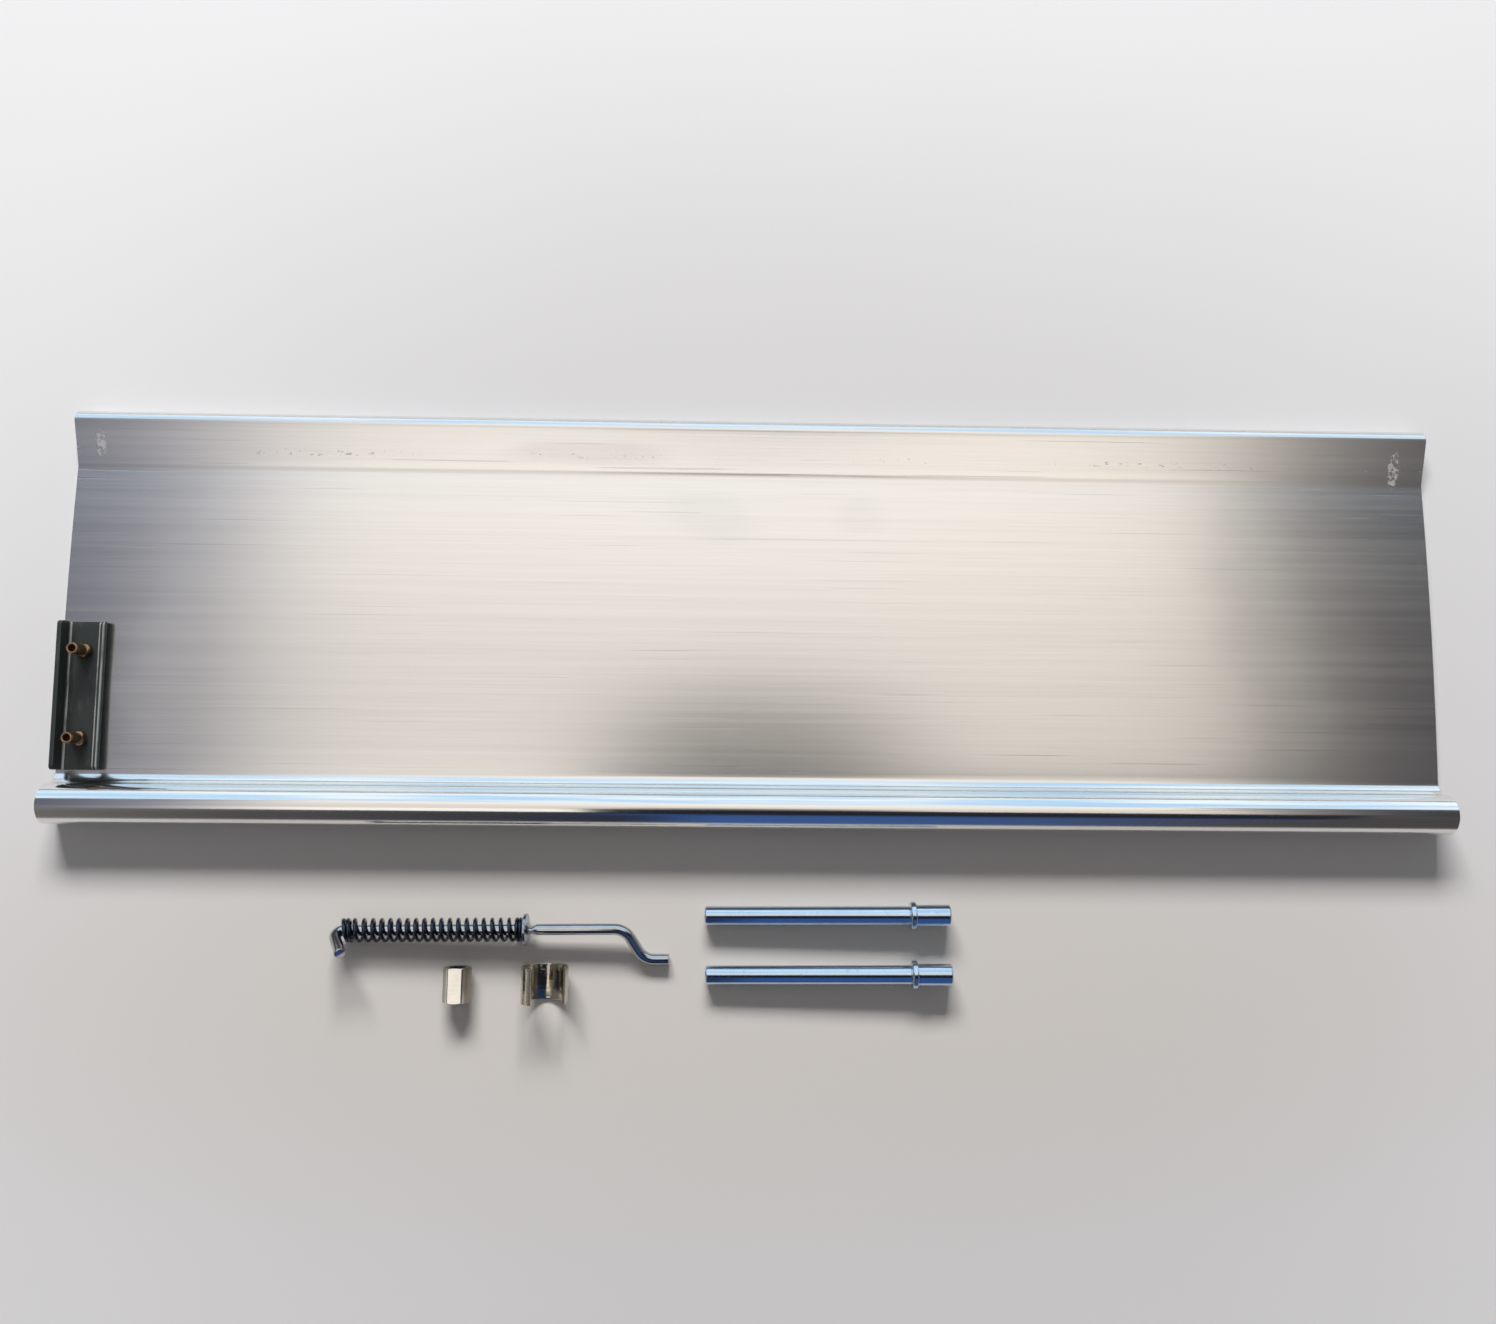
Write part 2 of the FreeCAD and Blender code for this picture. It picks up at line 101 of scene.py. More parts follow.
def colour(name, description, red, green, blue):
    return FloatVectorProperty(name=name, description=description, default=(red, green, blue),
                               subtype="COLOR", size=3, min=0.0, max=1.0)


class FlapSizes(bpy.types.PropertyGroup):
    """Cross-section and length of the extrusion"""
    span: length("Length", "Length along the hinge", 813.0)
    tube: length("Tube", "Outside radius of the hinge tube", 11.65)
    bore: length("Bore", "Radius of the hinge bore", 5.6)
    plate: length("Plate", "Thickness of the plate", 4.2)
    width: length("Width", "Width of the plate between the neck and the lip", 181.0)
    crown: length("Crown", "Rise of the plate's middle", 2.0)
    fillet: length("Neck fillet", "Radius between the tube and the plate", 7.3)
    lip: length("Lip", "Width of the raised lip", 26.3)
    lip_angle: angle("Lip angle", "How far the lip turns up", 16.6)
    edge: length("Sawn edge", "Rounding left on the sawn ends", 0.25)


class BracketSizes(bpy.types.PropertyGroup):
    """Bent channel riveted to the flap"""
    span: length("Length", "Length of the channel", 86.0)
    width: length("Width", "Width over the flanges", 23.6)
    wall: length("Wall", "Thickness of the sheet", 2.5)
    bend: length("Bend", "Inside radius of the bends", 1.2)
    tall: length("Tall flange", "Height of the outer flange", 12.2)
    short: length("Short flange", "Height of the inner flange", 6.5)
    corner: length("Corner", "Rounding of the flanges' corners", 2.5)
    inset: length("Inset", "Distance from the flap's end", 2.9)
    gap: length("Gap", "Distance from the neck", 0.5)


class RivetSizes(bpy.types.PropertyGroup):
    """Blind rivets that hold the bracket"""
    spacing: length("Spacing", "Distance between the rivets", 51.0)
    shift: length("Shift", "How far the pair stands off the bracket's middle", 0.7)
    shank: length("Shank", "Radius in the plate", 3.3)
    stem: length("Tail", "Radius of the tail", 3.2)
    bore: length("Bore", "Radius of the hollow", 2.0)
    head: length("Head", "Radius of the flat head", 5.3)
    head_depth: length("Head depth", "Depth of the head's cone", 1.2)
    bulb: length("Lobes", "Radius over the folded lobes", 4.8)
    bulb_height: length("Lobe height", "Height of the folded lobes", 4.6)
    tail: length("Tail length", "Height above the bracket's sheet", 15.0)
    turn: angle("Turn", "Turn of each rivet from the last", math.degrees(-0.8))


class WireSizes(bpy.types.PropertyGroup):
    """Latch rod, spring and washer"""
    rod: length("Rod", "Radius of the rod", 3.175)
    straight: length("Straight", "Length from the leg to the crank", 167.0)
    offset: length("Crank offset", "Sideways shift of the tip", 19.4)
    crank: angle("Crank angle", "Turn at each bend of the crank", 62.0)
    tip: length("Tip", "Length of the tip beyond the crank's corner", 14.6)
    crank_bend: length("Crank bend", "Centre-line radius of the crank's bends", 10.5)
    leg: length("Leg", "Length of the bent leg", 21.3)
    leg_angle: angle("Leg angle", "Angle between the leg and the rod", 63.0)
    leg_lean: angle("Leg lean", "Lean of the leg off the upright", 36.0)
    leg_bend: length("Leg bend", "Centre-line radius of the leg's bend", 4.2)
    coil: length("Coil", "Outside radius of the spring", 6.9)
    wire: length("Spring wire", "Diameter of the spring's wire", 2.0)
    coil_span: length("Spring length", "Length of the spring at rest", 102.2)
    turns: FloatProperty(name="Turns", description="Turns of the spring, the closed ones included",
                         default=22.5, min=3.0)
    closed: FloatProperty(name="Closed turns", description="Turns that touch at each end",
                          default=1.6, min=0.0)
    washer: length("Washer", "Radius of the washer", 9.0)
    washer_wall: length("Washer thickness", "Thickness of the washer", 1.6)
    gap: length("Gap", "Play beside the spring", 0.1)


class PinSizes(bpy.types.PropertyGroup):
    """Turned hinge pins"""
    journal: length("Journal", "Radius of the long end", 5.55)
    span: length("Journal length", "Length of the long end", 118.6)
    collar: length("Collar", "Radius of the collar", 8.15)
    collar_width: length("Collar width", "Width of the collar", 3.4)
    stub: length("Stub", "Radius of the short end", 6.35)
    stub_span: length("Stub length", "Length of the short end", 20.0)
    chamfer: length("Chamfer", "Chamfer of both ends", 0.8)
    relief: length("Relief", "Depth of the groove beside the collar", 0.15)


class SpacerSizes(bpy.types.PropertyGroup):
    """Hexagonal spacer"""
    flats: length("Across flats", "Width across the flats", 14.3)
    span: length("Length", "Length of the spacer", 19.6)
    bore: length("Bore", "Radius of the bore", 4.9)
    chamfer: length("Chamfer", "Depth of the turned chamfer at the corners", 0.9)


class ClipSizes(bpy.types.PropertyGroup):
    """Open ring that snaps over a tube"""
    bore: length("Bore", "Inside radius", 11.75)
    wall: length("Wall", "Thickness of the steel", 1.5)
    span: length("Length", "Length along the tube", 20.5)
    opening: angle("Opening", "Angle of the gap", 94.0)
    roll: angle("Roll", "How far the gap is rolled off the top", 20.0)
    edge: length("Edge", "Rounding of the edges", 0.4)


class Finishes(bpy.types.PropertyGroup):
    """Colours of the metals and paints"""
    aluminium: colour("Aluminium", "Mill-finish extrusion", 0.90, 0.885, 0.86)
    paint: colour("Bracket paint", "Black paint", 0.036, 0.042, 0.040)
    # Pale steel colour used for the painted highlights along the bracket's inner bend and the short flange's
    # rims.
    painted_highlight_colour: colour("Highlight paint", "Steel showing where the paint is rubbed", 0.50, 0.52, 0.51)
    copper: colour("Rivet copper", "Copper-coloured rivet bodies", 0.56, 0.33, 0.19)
    # The mandrel colour is near black: painted shade inside the rivets' hollow tails.
    mandrel: colour("Rivet mandrel", "Dull steel inside the rivets", 0.10, 0.06, 0.04)
    rod: colour("Rod zinc", "Zinc plating of the rod", 0.62, 0.64, 0.66)
    spring: colour("Spring zinc", "Dark plating of the spring", 0.045, 0.06, 0.085)
    washer: colour("Washer zinc", "Zinc plating of the washer", 0.42, 0.46, 0.54)
    pin: colour("Pin zinc", "Blue plating of the hinge pins", 0.68, 0.79, 0.90)
    # The spacer colour is the painted highlight of its upper flat, and the next colour is the painted shade
    # of its lower faces.
    spacer: colour("Spacer nickel", "Bright plating of the spacer", 0.95, 0.92, 0.86)
    painted_shade: colour("Darkened nickel", "Shaded sides of the spacer", 0.42, 0.38, 0.33)
    clip: colour("Clip nickel", "Plating of the clip", 0.64, 0.59, 0.49)
    # The floor colour is the painted shade in the middle; the floor's edges are made lighter.
    floor: colour("Floor", "Pale floor", 0.80, 0.79, 0.795)


class StageSettings(bpy.types.PropertyGroup):
    """Lights and camera"""
    lens: FloatProperty(name="Lens", description="Focal length on a 36 mm sensor", default=28.0267,
                        min=1.0, unit="CAMERA")
    key: FloatProperty(name="Key light", description="Strength of the light behind the flap",
                       default=36.0, min=0.0)
    ceiling: FloatProperty(name="Ceiling", description="Brightness of the ceiling that the metal mirrors",
                           default=1.0, min=0.0)
    sky: FloatProperty(name="Surroundings", description="Strength of the room's light",
                       default=1.0, min=0.0)


class KitSettings(bpy.types.PropertyGroup):
    flap: PointerProperty(type=FlapSizes)
    bracket: PointerProperty(type=BracketSizes)
    rivets: PointerProperty(type=RivetSizes)
    wire: PointerProperty(type=WireSizes)
    pin: PointerProperty(type=PinSizes)
    spacer: PointerProperty(type=SpacerSizes)
    clip: PointerProperty(type=ClipSizes)
    finishes: PointerProperty(type=Finishes)
    stage: PointerProperty(type=StageSettings)


# ---------------------------------------------------------------- node trees

class Wire:
    """One output of a node. Arithmetic on it adds Math nodes to its tree."""

    def __init__(self, sheet, socket):
        self.sheet = sheet
        self.socket = socket

    def math(self, operation, *values):
        return self.sheet.add("ShaderNodeMath", {"operation": operation}, dict(enumerate(values)))

    def __abs__(self):
        return self.math("ABSOLUTE", self)

    def other(self, output):
        """Another output of the same node."""
        return Wire(self.sheet, self.socket.node.outputs[output])

    def __add__(self, value):
        return self.math("ADD", self, value)

    def __radd__(self, value):
        return self.math("ADD", value, self)

    def __sub__(self, value):
        return self.math("SUBTRACT", self, value)

    def __rsub__(self, value):
        return self.math("SUBTRACT", value, self)

    def __mul__(self, value):
        return self.math("MULTIPLY", self, value)

    def __rmul__(self, value):
        return self.math("MULTIPLY", value, self)

    def __truediv__(self, value):
        return self.math("DIVIDE", self, value)


class Sheet:
    """A node tree while it is being filled."""

    def __init__(self, tree):
        self.tree = tree

    def add(self, kind, settings=None, inputs=None, output=0):
        """Adds a node, sets it up, links or sets its inputs, and gives one of its outputs."""
        node = self.tree.nodes.new(kind)
        for name, value in (settings or {}).items():
            if name == "stops":
                self.set_stops(node.color_ramp, value)
            else:
                setattr(node, name, value)
        for key, value in (inputs or {}).items():
            if isinstance(value, Wire):
                self.tree.links.new(value.socket, node.inputs[key])
            else:
                node.inputs[key].default_value = value
        return Wire(self, node.outputs[output])

    def set_stops(self, ramp, stops):
        while len(ramp.elements) < len(stops):
            ramp.elements.new(1.0)
        for element, (position, value) in zip(ramp.elements, stops):
            element.position = position
            element.color = (*value, 1.0) if isinstance(value, tuple) else (value, value, value, 1.0)

    def ramp(self, value, *stops):
        return self.add("ShaderNodeValToRGB", {"stops": stops}, {"Fac": value})

    def step(self, value, low, high):
        """0 below low, 1 above high, smooth between."""
        return self.add("ShaderNodeMapRange", {"interpolation_type": "SMOOTHSTEP"},
                        {"Value": value, "From Min": low, "From Max": high})

    def blend(self, factor, first, second):
        """From the first colour to the second."""
        return self.add("ShaderNodeMix", {"data_type": "RGBA"}, {0: factor, 6: first, 7: second}, 2)

    def stretch(self, place, *scale):
        """A place scaled along each axis."""
        return self.add("ShaderNodeVectorMath", {"operation": "MULTIPLY"}, {0: place, 1: scale})

    def parts(self, place, axis):
        """One coordinate of a place."""
        return self.add("ShaderNodeSeparateXYZ", {}, {0: place}, axis)

    def grain(self, place, scale, detail, roughness):
        return self.add("ShaderNodeTexNoise", {},
                        {"Vector": place, "Scale": scale, "Detail": detail, "Roughness": roughness})

    def spot(self, place, centre, radii, ragged, soft):
        """1 inside a ragged ellipse on the XY plane, 0 outside."""
        moved = self.add("ShaderNodeVectorMath", {"operation": "SUBTRACT"}, {0: place, 1: centre})
        sized = self.stretch(moved, 1 / radii[0], 1 / radii[1], 0)
        far = self.add("ShaderNodeVectorMath", {"operation": "LENGTH"}, {0: sized}, "Value")
        return 1 - self.step(far + ragged, 1 - soft, 1 + soft)


def opaque(rgb):
    return (rgb[0], rgb[1], rgb[2], 1.0)


def shaded(rgb, factor):
    return (rgb[0] * factor, rgb[1] * factor, rgb[2] * factor, 1.0)


def make_finish(name, build, **constants):
    """A material whose colour, roughness and relief come from build. Constants set the shader's sockets."""
    material = bpy.data.materials.new(name)
    material.use_nodes = True
    sheet = Sheet(material.node_tree)
    shader = sheet.tree.nodes["Principled BSDF"]
    place = sheet.add("ShaderNodeTexCoord", {}, {}, "Object")
    tint, rough, relief, depth = build(sheet, place)
    bump = sheet.add("ShaderNodeBump", {}, {"Height": relief, "Distance": depth, "Strength": 1.0})
    for socket, value in (("Base Color", tint), ("Roughness", rough), ("Normal", bump)):
        sheet.tree.links.new(value.socket, shader.inputs[socket])
    for socket, value in constants.items():
        shader.inputs[socket.replace("_", " ")].default_value = value
    return material


def mill_aluminium(rgb, sizes):
    """Extrusion with fine lines along its length, hand smudges, scuffs and a chipped lip."""
    smudges = (((-0.033, 0.178), (0.022, 0.014), 0.6, 0.8), ((-0.110, 0.212), (0.040, 0.006), 0.6, 0.9),
               ((0.060, 0.172), (0.015, 0.010), 0.6, 0.7), ((0.300, 0.130), (0.024, 0.045), 0.7, 0.9),
               ((0.318, 0.050), (0.022, 0.035), 0.7, 0.6))
    chipped = (((-0.392, 0.213), (0.0028, 0.0075)), ((0.388, 0.208), (0.003, 0.010)))
    fold = sizes.width + 0.019

    def build(sheet, place):
        lines = sheet.grain(sheet.stretch(place, 1.2, 160, 160), 1.0, 5.0, 0.62)
        hair = sheet.grain(sheet.stretch(place, 9, 1700, 1700), 1.0, 2.0, 0.6)
        cloud = sheet.grain(sheet.stretch(place, 5, 11, 11), 1.0, 4.0, 0.6)
        fog = sheet.grain(sheet.stretch(place, 18, 34, 34), 1.0, 1.5, 0.5)
        ragged = (fog - 0.5) * 2.2
        smear = sum((sheet.spot(place, (*middle, 0), radii, ragged, soft) * amount
                     for middle, radii, soft, amount in smudges), start=0.0)
        haze = sheet.spot(place, (-0.352, 0.075, 0), (0.020, 0.050), ragged, 0.7)
        across = sheet.parts(place, "Y")
        on_lip = sheet.step(across, fold + 0.004, fold + 0.006)
        on_tube = 1 - sheet.step(across, 0.011, 0.019)
        seam = sheet.step(across, 0.2075, 0.2085) * (1 - sheet.step(across, 0.2105, 0.212))
        speck = sheet.step(sheet.grain(sheet.stretch(place, 240, 500, 500), 1.0, 2.0, 0.7), 0.60, 0.68)
        patch = sheet.step(sheet.grain(place, 16.0, 2.0, 0.5), 0.45, 0.62)
        flake = sheet.step(sheet.grain(place, 420.0, 3.0, 0.6), 0.47, 0.55)
        chips = sum((flake * sheet.spot(place, (*middle, 0), radii, ragged * 0.3, 0.3)
                     for middle, radii in chipped), start=speck * seam * patch * 0.8)
        scratch = sheet.step(sheet.grain(sheet.stretch(place, 7, 900, 900), 1.0, 1.0, 0.4), 0.69, 0.75)
        tone = 0.87 + lines * 0.20 + (hair - 0.5) * 0.12 - smear * 0.03 - scratch * 0.12
        tint = sheet.blend(tone, shaded(rgb, 0.0), opaque(rgb))
        tint = sheet.blend(chips * 0.9, tint, (0.95, 0.94, 0.92, 1))
        rough = 0.17 + cloud * 0.07 + (lines - 0.5) * 0.08 + smear * 0.04 + haze * 0.05 + chips * 0.4
        rough = rough + on_lip * 0.02 - on_tube * 0.07
        relief = lines * 0.70 + hair * 0.14 + cloud * 0.7 - scratch * 0.3 + chips * 0.5
        return tint, rough, relief, 0.00004
    return make_finish("mill_aluminium", build, Metallic=1.0)


def painted_black(rgb, painted_highlight_rgb, place_of_bracket, b):
    """Thin black paint over steel with lighter worn patches, and pale lines painted along the inner bend and
    the short flange's rims as highlights.
    """
    origin, lean = place_of_bracket.translation, place_of_bracket.to_3x3() @ Vector((0, 1, 0))

    def build(sheet, place):
        fine = sheet.grain(place, 900.0, 3.0, 0.6)
        cloud = sheet.grain(place, 60.0, 4.0, 0.65)
        scrape = sheet.grain(sheet.stretch(place, 260, 30, 260), 1.0, 4.0, 0.7)
        worn = sheet.step(scrape * 0.6 + cloud * 0.5, 0.56, 0.72)
        across = sheet.parts(place, "X") - origin.x
        high = sheet.parts(place, "Z") - origin.z - (sheet.parts(place, "Y") - origin.y) * lean.z

        def line(at, half):
            return 1 - sheet.step(abs(across - at), half * 0.4, half)

        below = 1 - sheet.step(high, b.wall + b.bend * 1.1, b.wall + b.bend * 1.5)
        # Painted highlights: pale lines along the inner bend and on the short flange's rims, broken up by
        # noise.
        bend = line(b.wall + b.bend * 0.35, 0.00055) * below
        rims = line(b.width - b.wall + 0.0002, 0.0006) + line(b.width - 0.0002, 0.0006)
        rims = rims * sheet.step(high, b.short - 0.0016, b.short - 0.0007)
        pale = (bend * 0.95 + rims * 0.8) * sheet.step(scrape + cloud * 0.4, 0.42, 0.72)
        tint = sheet.blend(worn * 0.6, opaque(rgb), (0.085, 0.092, 0.086, 1))
        tint = sheet.blend(pale, tint, opaque(painted_highlight_rgb))
        rough = 0.40 + cloud * 0.22 + worn * 0.1 - pale * 0.1
        return tint, rough, fine * 0.5 + cloud * 0.8 - worn * 0.3, 0.00006
    return make_finish("black_paint", build, Metallic=0.0, Specular_IOR_Level=0.38)


def plated(name, rgb, rough, spread=0.08, along=(1, 1, 1), relief=0.00001, dark=0.6, **constants):
    """Bright plating with drawing or turning lines, faint stains and dulled patches."""
    def build(sheet, place):
        lines = sheet.grain(sheet.stretch(place, *along), 1.0, 3.0, 0.6)
        cloud = sheet.grain(place, 90.0, 4.0, 0.6)
        stain = sheet.step(sheet.grain(place, 260.0, 4.0, 0.7), 0.56, 0.70)
        tint = sheet.blend(cloud * 0.5 + lines * 0.3 + stain * 0.4, opaque(rgb), shaded(rgb, dark))
        gloss = rough + cloud * spread + stain * spread * 1.5
        return tint, gloss, lines * 0.8 + cloud * 0.4 - stain * 0.3, relief
    return make_finish(name, build, Metallic=1.0, **constants)


def nickel_with_painted_light(rgb, painted_shade):
    """Nickel plating with painted light: its upper flat is painted bright as a highlight and the faces lower
    down are painted dark brown as shade.
    """
    def build(sheet, place):
        lines = sheet.grain(sheet.stretch(place, 60, 1500, 60), 1.0, 3.0, 0.6)
        cloud = sheet.grain(place, 150.0, 4.0, 0.6)
        # Painted highlight on the upper flat and painted shade on the lower faces, with a ragged border
        # between them.
        painted_lit_top = sheet.step(sheet.parts(place, "Z") + (cloud - 0.5) * 0.0006, -0.0004, 0.0018)
        tint = sheet.blend(painted_lit_top, opaque(painted_shade), opaque(rgb))
        tint = sheet.blend(lines * 0.25 + cloud * 0.2, tint, shaded(painted_shade, 0.8))
        return tint, 0.12 + cloud * 0.08 + lines * 0.04, lines * 0.8 + cloud * 0.5, 0.00002
    return make_finish("spacer_nickel", build, Metallic=1.0)


def crinkled_nickel(rgb):
    """Plated spring steel, slightly crumpled across its bend."""
    def build(sheet, place):
        lines = sheet.grain(sheet.stretch(place, 60, 900, 60), 1.0, 3.0, 0.6)
        crumple = sheet.grain(sheet.stretch(place, 160, 340, 160), 1.0, 3.0, 0.65)
        stain = sheet.step(sheet.grain(place, 210.0, 4.0, 0.7), 0.50, 0.68)
        tint = sheet.blend(stain * 0.5 + lines * 0.3, opaque(rgb), shaded(rgb, 0.45))
        return tint, 0.10 + stain * 0.14, crumple + lines * 0.1, 0.00022
    return make_finish("clip_nickel", build, Metallic=1.0)


# ---------------------------------------------------------------- mesh helpers

def make_piece(name, bm, material, sharp=32.0):
    """A named object from a mesh, normals outwards and smooth but for its sharp edges."""
    bmesh.ops.remove_doubles(bm, verts=bm.verts, dist=1e-7)
    bmesh.ops.recalc_face_normals(bm, faces=bm.faces)
    mesh = bpy.data.meshes.new(name)
    bm.to_mesh(mesh)
    bm.free()
    for polygon in mesh.polygons:
        polygon.use_smooth = True
    mesh.set_sharp_from_angle(angle=math.radians(sharp))
    mesh.materials.append(material)
    piece = bpy.data.objects.new(name, mesh)
    bpy.context.scene.collection.objects.link(piece)
    return piece


def bridge(bm, rings, closed=True, caps=True):
    """Quads between neighbouring rings of vertices, and a face on each end."""
    for first, second in zip(rings, rings[1:]):
        count = len(first)
        for i in range(count if closed else count - 1):
            j = (i + 1) % count
            bm.faces.new((first[i], first[j], second[j], second[i]))
    if caps:
        bm.faces.new(rings[0][::-1])
        bm.faces.new(rings[-1])


def arc_points(centre, radius, start, end, count):
    """Points on an arc in the plane, from one angle to another."""
    turns = [start + (end - start) * i / count for i in range(count + 1)]
    return [(centre[0] + radius * math.cos(a), centre[1] + radius * math.sin(a)) for a in turns]


def turns_of(sides):
    """Angles evenly round a full turn."""
    return [2 * math.pi * i / sides for i in range(sides)]


def lathe(bm, outline, place):
    """Rings of vertices that turn (position, radius) points about a frame's X axis."""
    return [[bm.verts.new(place @ Vector((x, radius * math.cos(a), radius * math.sin(a))))
             for a in turns_of(LATHE_SIDES)] for x, radius in outline]


def rounded(points, radius, steps=4):
    """An outline with its corners rounded. A point is (position, radius), or has its own rounding third."""
    result = []
    for i, point in enumerate(points):
        size = point[2] if len(point) > 2 else radius
        here = Vector(point[:2])
        if i in (0, len(points) - 1) or size == 0:
            result.append(tuple(here))
            continue
        before, after = Vector(points[i - 1][:2]) - here, Vector(points[i + 1][:2]) - here
        size = min(size, before.length * 0.49, after.length * 0.49)
        start, end = here + before.normalized() * size, here + after.normalized() * size
        for k in range(steps + 1):
            t = k / steps
            result.append(tuple(start * (1 - t) ** 2 + here * 2 * t * (1 - t) + end * t ** 2))
    return result


# ---------------------------------------------------------------- growing from trees

def new_tree(name, inputs):
    """A Geometry Nodes tree with named inputs, each with its kind and default, ready to be filled."""
    tree = bpy.data.node_groups.new(name, "GeometryNodeTree")
    for way in ("INPUT", "OUTPUT"):
        tree.interface.new_socket(name="Geometry", in_out=way, socket_type="NodeSocketGeometry")
    for key, (kind, value) in inputs.items():
        socket = tree.interface.new_socket(name=key, in_out="INPUT", socket_type="NodeSocket" + kind)
        if value is not None:
            socket.default_value = value
    sheet = Sheet(tree)
    return sheet, sheet.add("NodeGroupInput")


def finish_tree(sheet, geometry, group):
    """Ends a tree in real geometry with its material."""
    real = sheet.add("GeometryNodeRealizeInstances", {}, {0: geometry})
    done = sheet.add("GeometryNodeSetMaterial", {}, {"Geometry": real, "Material": group.other("Finish")})
    out = sheet.tree.nodes.new("NodeGroupOutput")
    sheet.tree.links.new(done.socket, out.inputs[0])
    return sheet.tree


def grown(name, tree, inputs, base=None):
    """Runs a tree on a base mesh and keeps the result as a plain mesh."""
    seed = bpy.data.objects.new(name + "_seed", base or bpy.data.meshes.new(name + "_seed"))
    bpy.context.scene.collection.objects.link(seed)
    modifier = seed.modifiers.new("grow", "NODES")
    modifier.node_group = tree
    sockets = {s.name: s.identifier for s in tree.interface.items_tree if s.in_out == "INPUT"}
    for key, value in inputs.items():
        modifier[sockets[key]] = value
    bpy.context.view_layer.update()
    depsgraph = bpy.context.evaluated_depsgraph_get()
    mesh = bpy.data.meshes.new_from_object(seed.evaluated_get(depsgraph), depsgraph=depsgraph)
    seed.modifiers.remove(modifier)
    bpy.data.objects.remove(seed)
    if not mesh.polygons:
        raise RuntimeError("%s came out empty" % name)
    bm = bmesh.new()
    bm.from_mesh(mesh)
    return bm


# ---------------------------------------------------------------- places

def crown_radius(f):
    return (f.width ** 2 / 4 + f.crown ** 2) / (2 * f.crown)


def plate_top(f):
    return -f.tube + f.plate


def neck_y(f):
    return math.sqrt((f.tube + f.fillet) ** 2 - (plate_top(f) + f.fillet) ** 2)


def bracket_place(kit):
    """The bracket's frame: X across from its outer face, Y along it, Z off the plate."""
    f, b = kit.flap, kit.bracket
    radius = crown_radius(f)
    across = b.gap + b.span / 2 - f.width / 2
    middle_z = plate_top(f) + f.crown - radius + math.sqrt(radius ** 2 - across ** 2)
    origin = Vector((-f.span / 2 + b.inset, neck_y(f) + b.gap + b.span / 2, middle_z))
    return Matrix.Translation(origin) @ Matrix.Rotation(-math.asin(across / radius), 4, "X")


def leg_reach(w):
    return (w.coil * math.cos(w.leg_angle) + w.rod) / math.sin(w.leg_angle)


def rod_place(w):
    """The rod's frame: +X along its straight length from the bend of its leg."""
    start = leg_reach(w) + w.gap
    tilt = math.atan((w.washer - w.coil) / (w.coil_span + w.gap))
    height = w.coil * math.cos(tilt) - start * math.sin(tilt)
    turn = Matrix.Rotation(math.radians(ROD_TURN), 4, "Z") @ Matrix.Rotation(-tilt, 4, "Y")
    return Matrix.Translation((*ROD_AT, FLOOR + height)) @ turn, tilt, height, start


# ---------------------------------------------------------------- flap

def flap_section(f):
    """The cross-section's outline as (y, z) points, counter-clockwise seen from +X."""
    top, floor = plate_top(f), -f.tube
    neck, fold = neck_y(f), neck_y(f) + f.width
    radius = crown_radius(f)
    fillet_turn = math.atan2(top + f.fillet, neck)
    slope = f.lip_angle
    along, off = Vector((math.cos(slope), math.sin(slope))), Vector((-math.sin(slope), math.cos(slope)))
    lip_end = Vector((fold, top)) + along * f.lip
    bead = (f.lip * math.sin(slope) + f.plate) / (1 + math.cos(slope))
    bead_centre = lip_end - off * bead
    reach = math.sqrt(bead ** 2 - (bead - f.plate) ** 2)
    bead_inside = lip_end - off * f.plate - along * reach
    inside_turn = math.atan2(*(bead_inside - bead_centre).yx) - 2 * math.pi
    under_fold = fold + f.plate * math.tan(slope / 2)
    half = math.asin(f.width / 2 / radius)
    points = arc_points((0, 0), f.tube, fillet_turn, 1.5 * math.pi, TUBE_STEPS)
    middle = (neck + under_fold) / 2
    under_half = math.asin((under_fold - neck) / 2 / radius)
    under_rise = radius * math.cos(under_half)
    points += arc_points((middle, floor - under_rise), radius, math.pi / 2 + under_half,
                         math.pi / 2 - under_half, UNDER_STEPS)
    points.append(tuple(bead_inside))
    points += arc_points(bead_centre, bead, inside_turn, slope + math.pi / 2, BEAD_STEPS)[1:]
    points += [tuple(lip_end - along * f.lip * i / LIP_STEPS) for i in range(1, LIP_STEPS)]
    points += arc_points((neck + f.width / 2, top + f.crown - radius), radius,
                         math.pi / 2 - half, math.pi / 2 + half, CROWN_STEPS)
    fillet = arc_points((neck, top + f.fillet), f.fillet, 1.5 * math.pi, math.pi + fillet_turn, FILLET_STEPS)
    return points + fillet[1:-1]


def shrink(points, by):
    """The outline moved inwards by a small distance."""
    result = []
    for i, here in enumerate(points):
        before, after = Vector(points[i - 1]), Vector(points[(i + 1) % len(points)])
        ahead = (after - before).normalized()
        result.append((here[0] - ahead.y * by, here[1] + ahead.x * by))
    return result


def build_flap(f, material):
    outline = flap_section(f)
    bm = bmesh.new()
    half = f.span / 2
    stations = [(-half, f.edge), (-half + f.edge * 0.35, f.edge * 0.3), (-half + f.edge, 0.0)]
    stations += [(-half + f.span * i / SPAN_STEPS, 0.0) for i in range(1, SPAN_STEPS)]
    stations += [(-x, inset) for x, inset in stations[2::-1]]
    outer, inner = [], []
    for x, inset in stations:
        ring = shrink(outline, inset) if inset else outline
        outer.append([bm.verts.new((x, y, z)) for y, z in ring])
        bore = arc_points((0, 0), f.bore + inset, 0, 2 * math.pi, 64)[:-1]
        inner.append([bm.verts.new((x, y, z)) for y, z in bore])
    bridge(bm, outer, caps=False)
    bridge(bm, inner, caps=False)
    for end in (0, -1):
        edges = []
        for ring in (outer[end], inner[end]):
            edges += [bm.edges.get((ring[i - 1], ring[i])) for i in range(len(ring))]
        bmesh.ops.triangle_fill(bm, use_beauty=True, edges=edges)
    return make_piece("aluminium_flap", bm, material, 24.0)


# ---------------------------------------------------------------- bracket and rivets

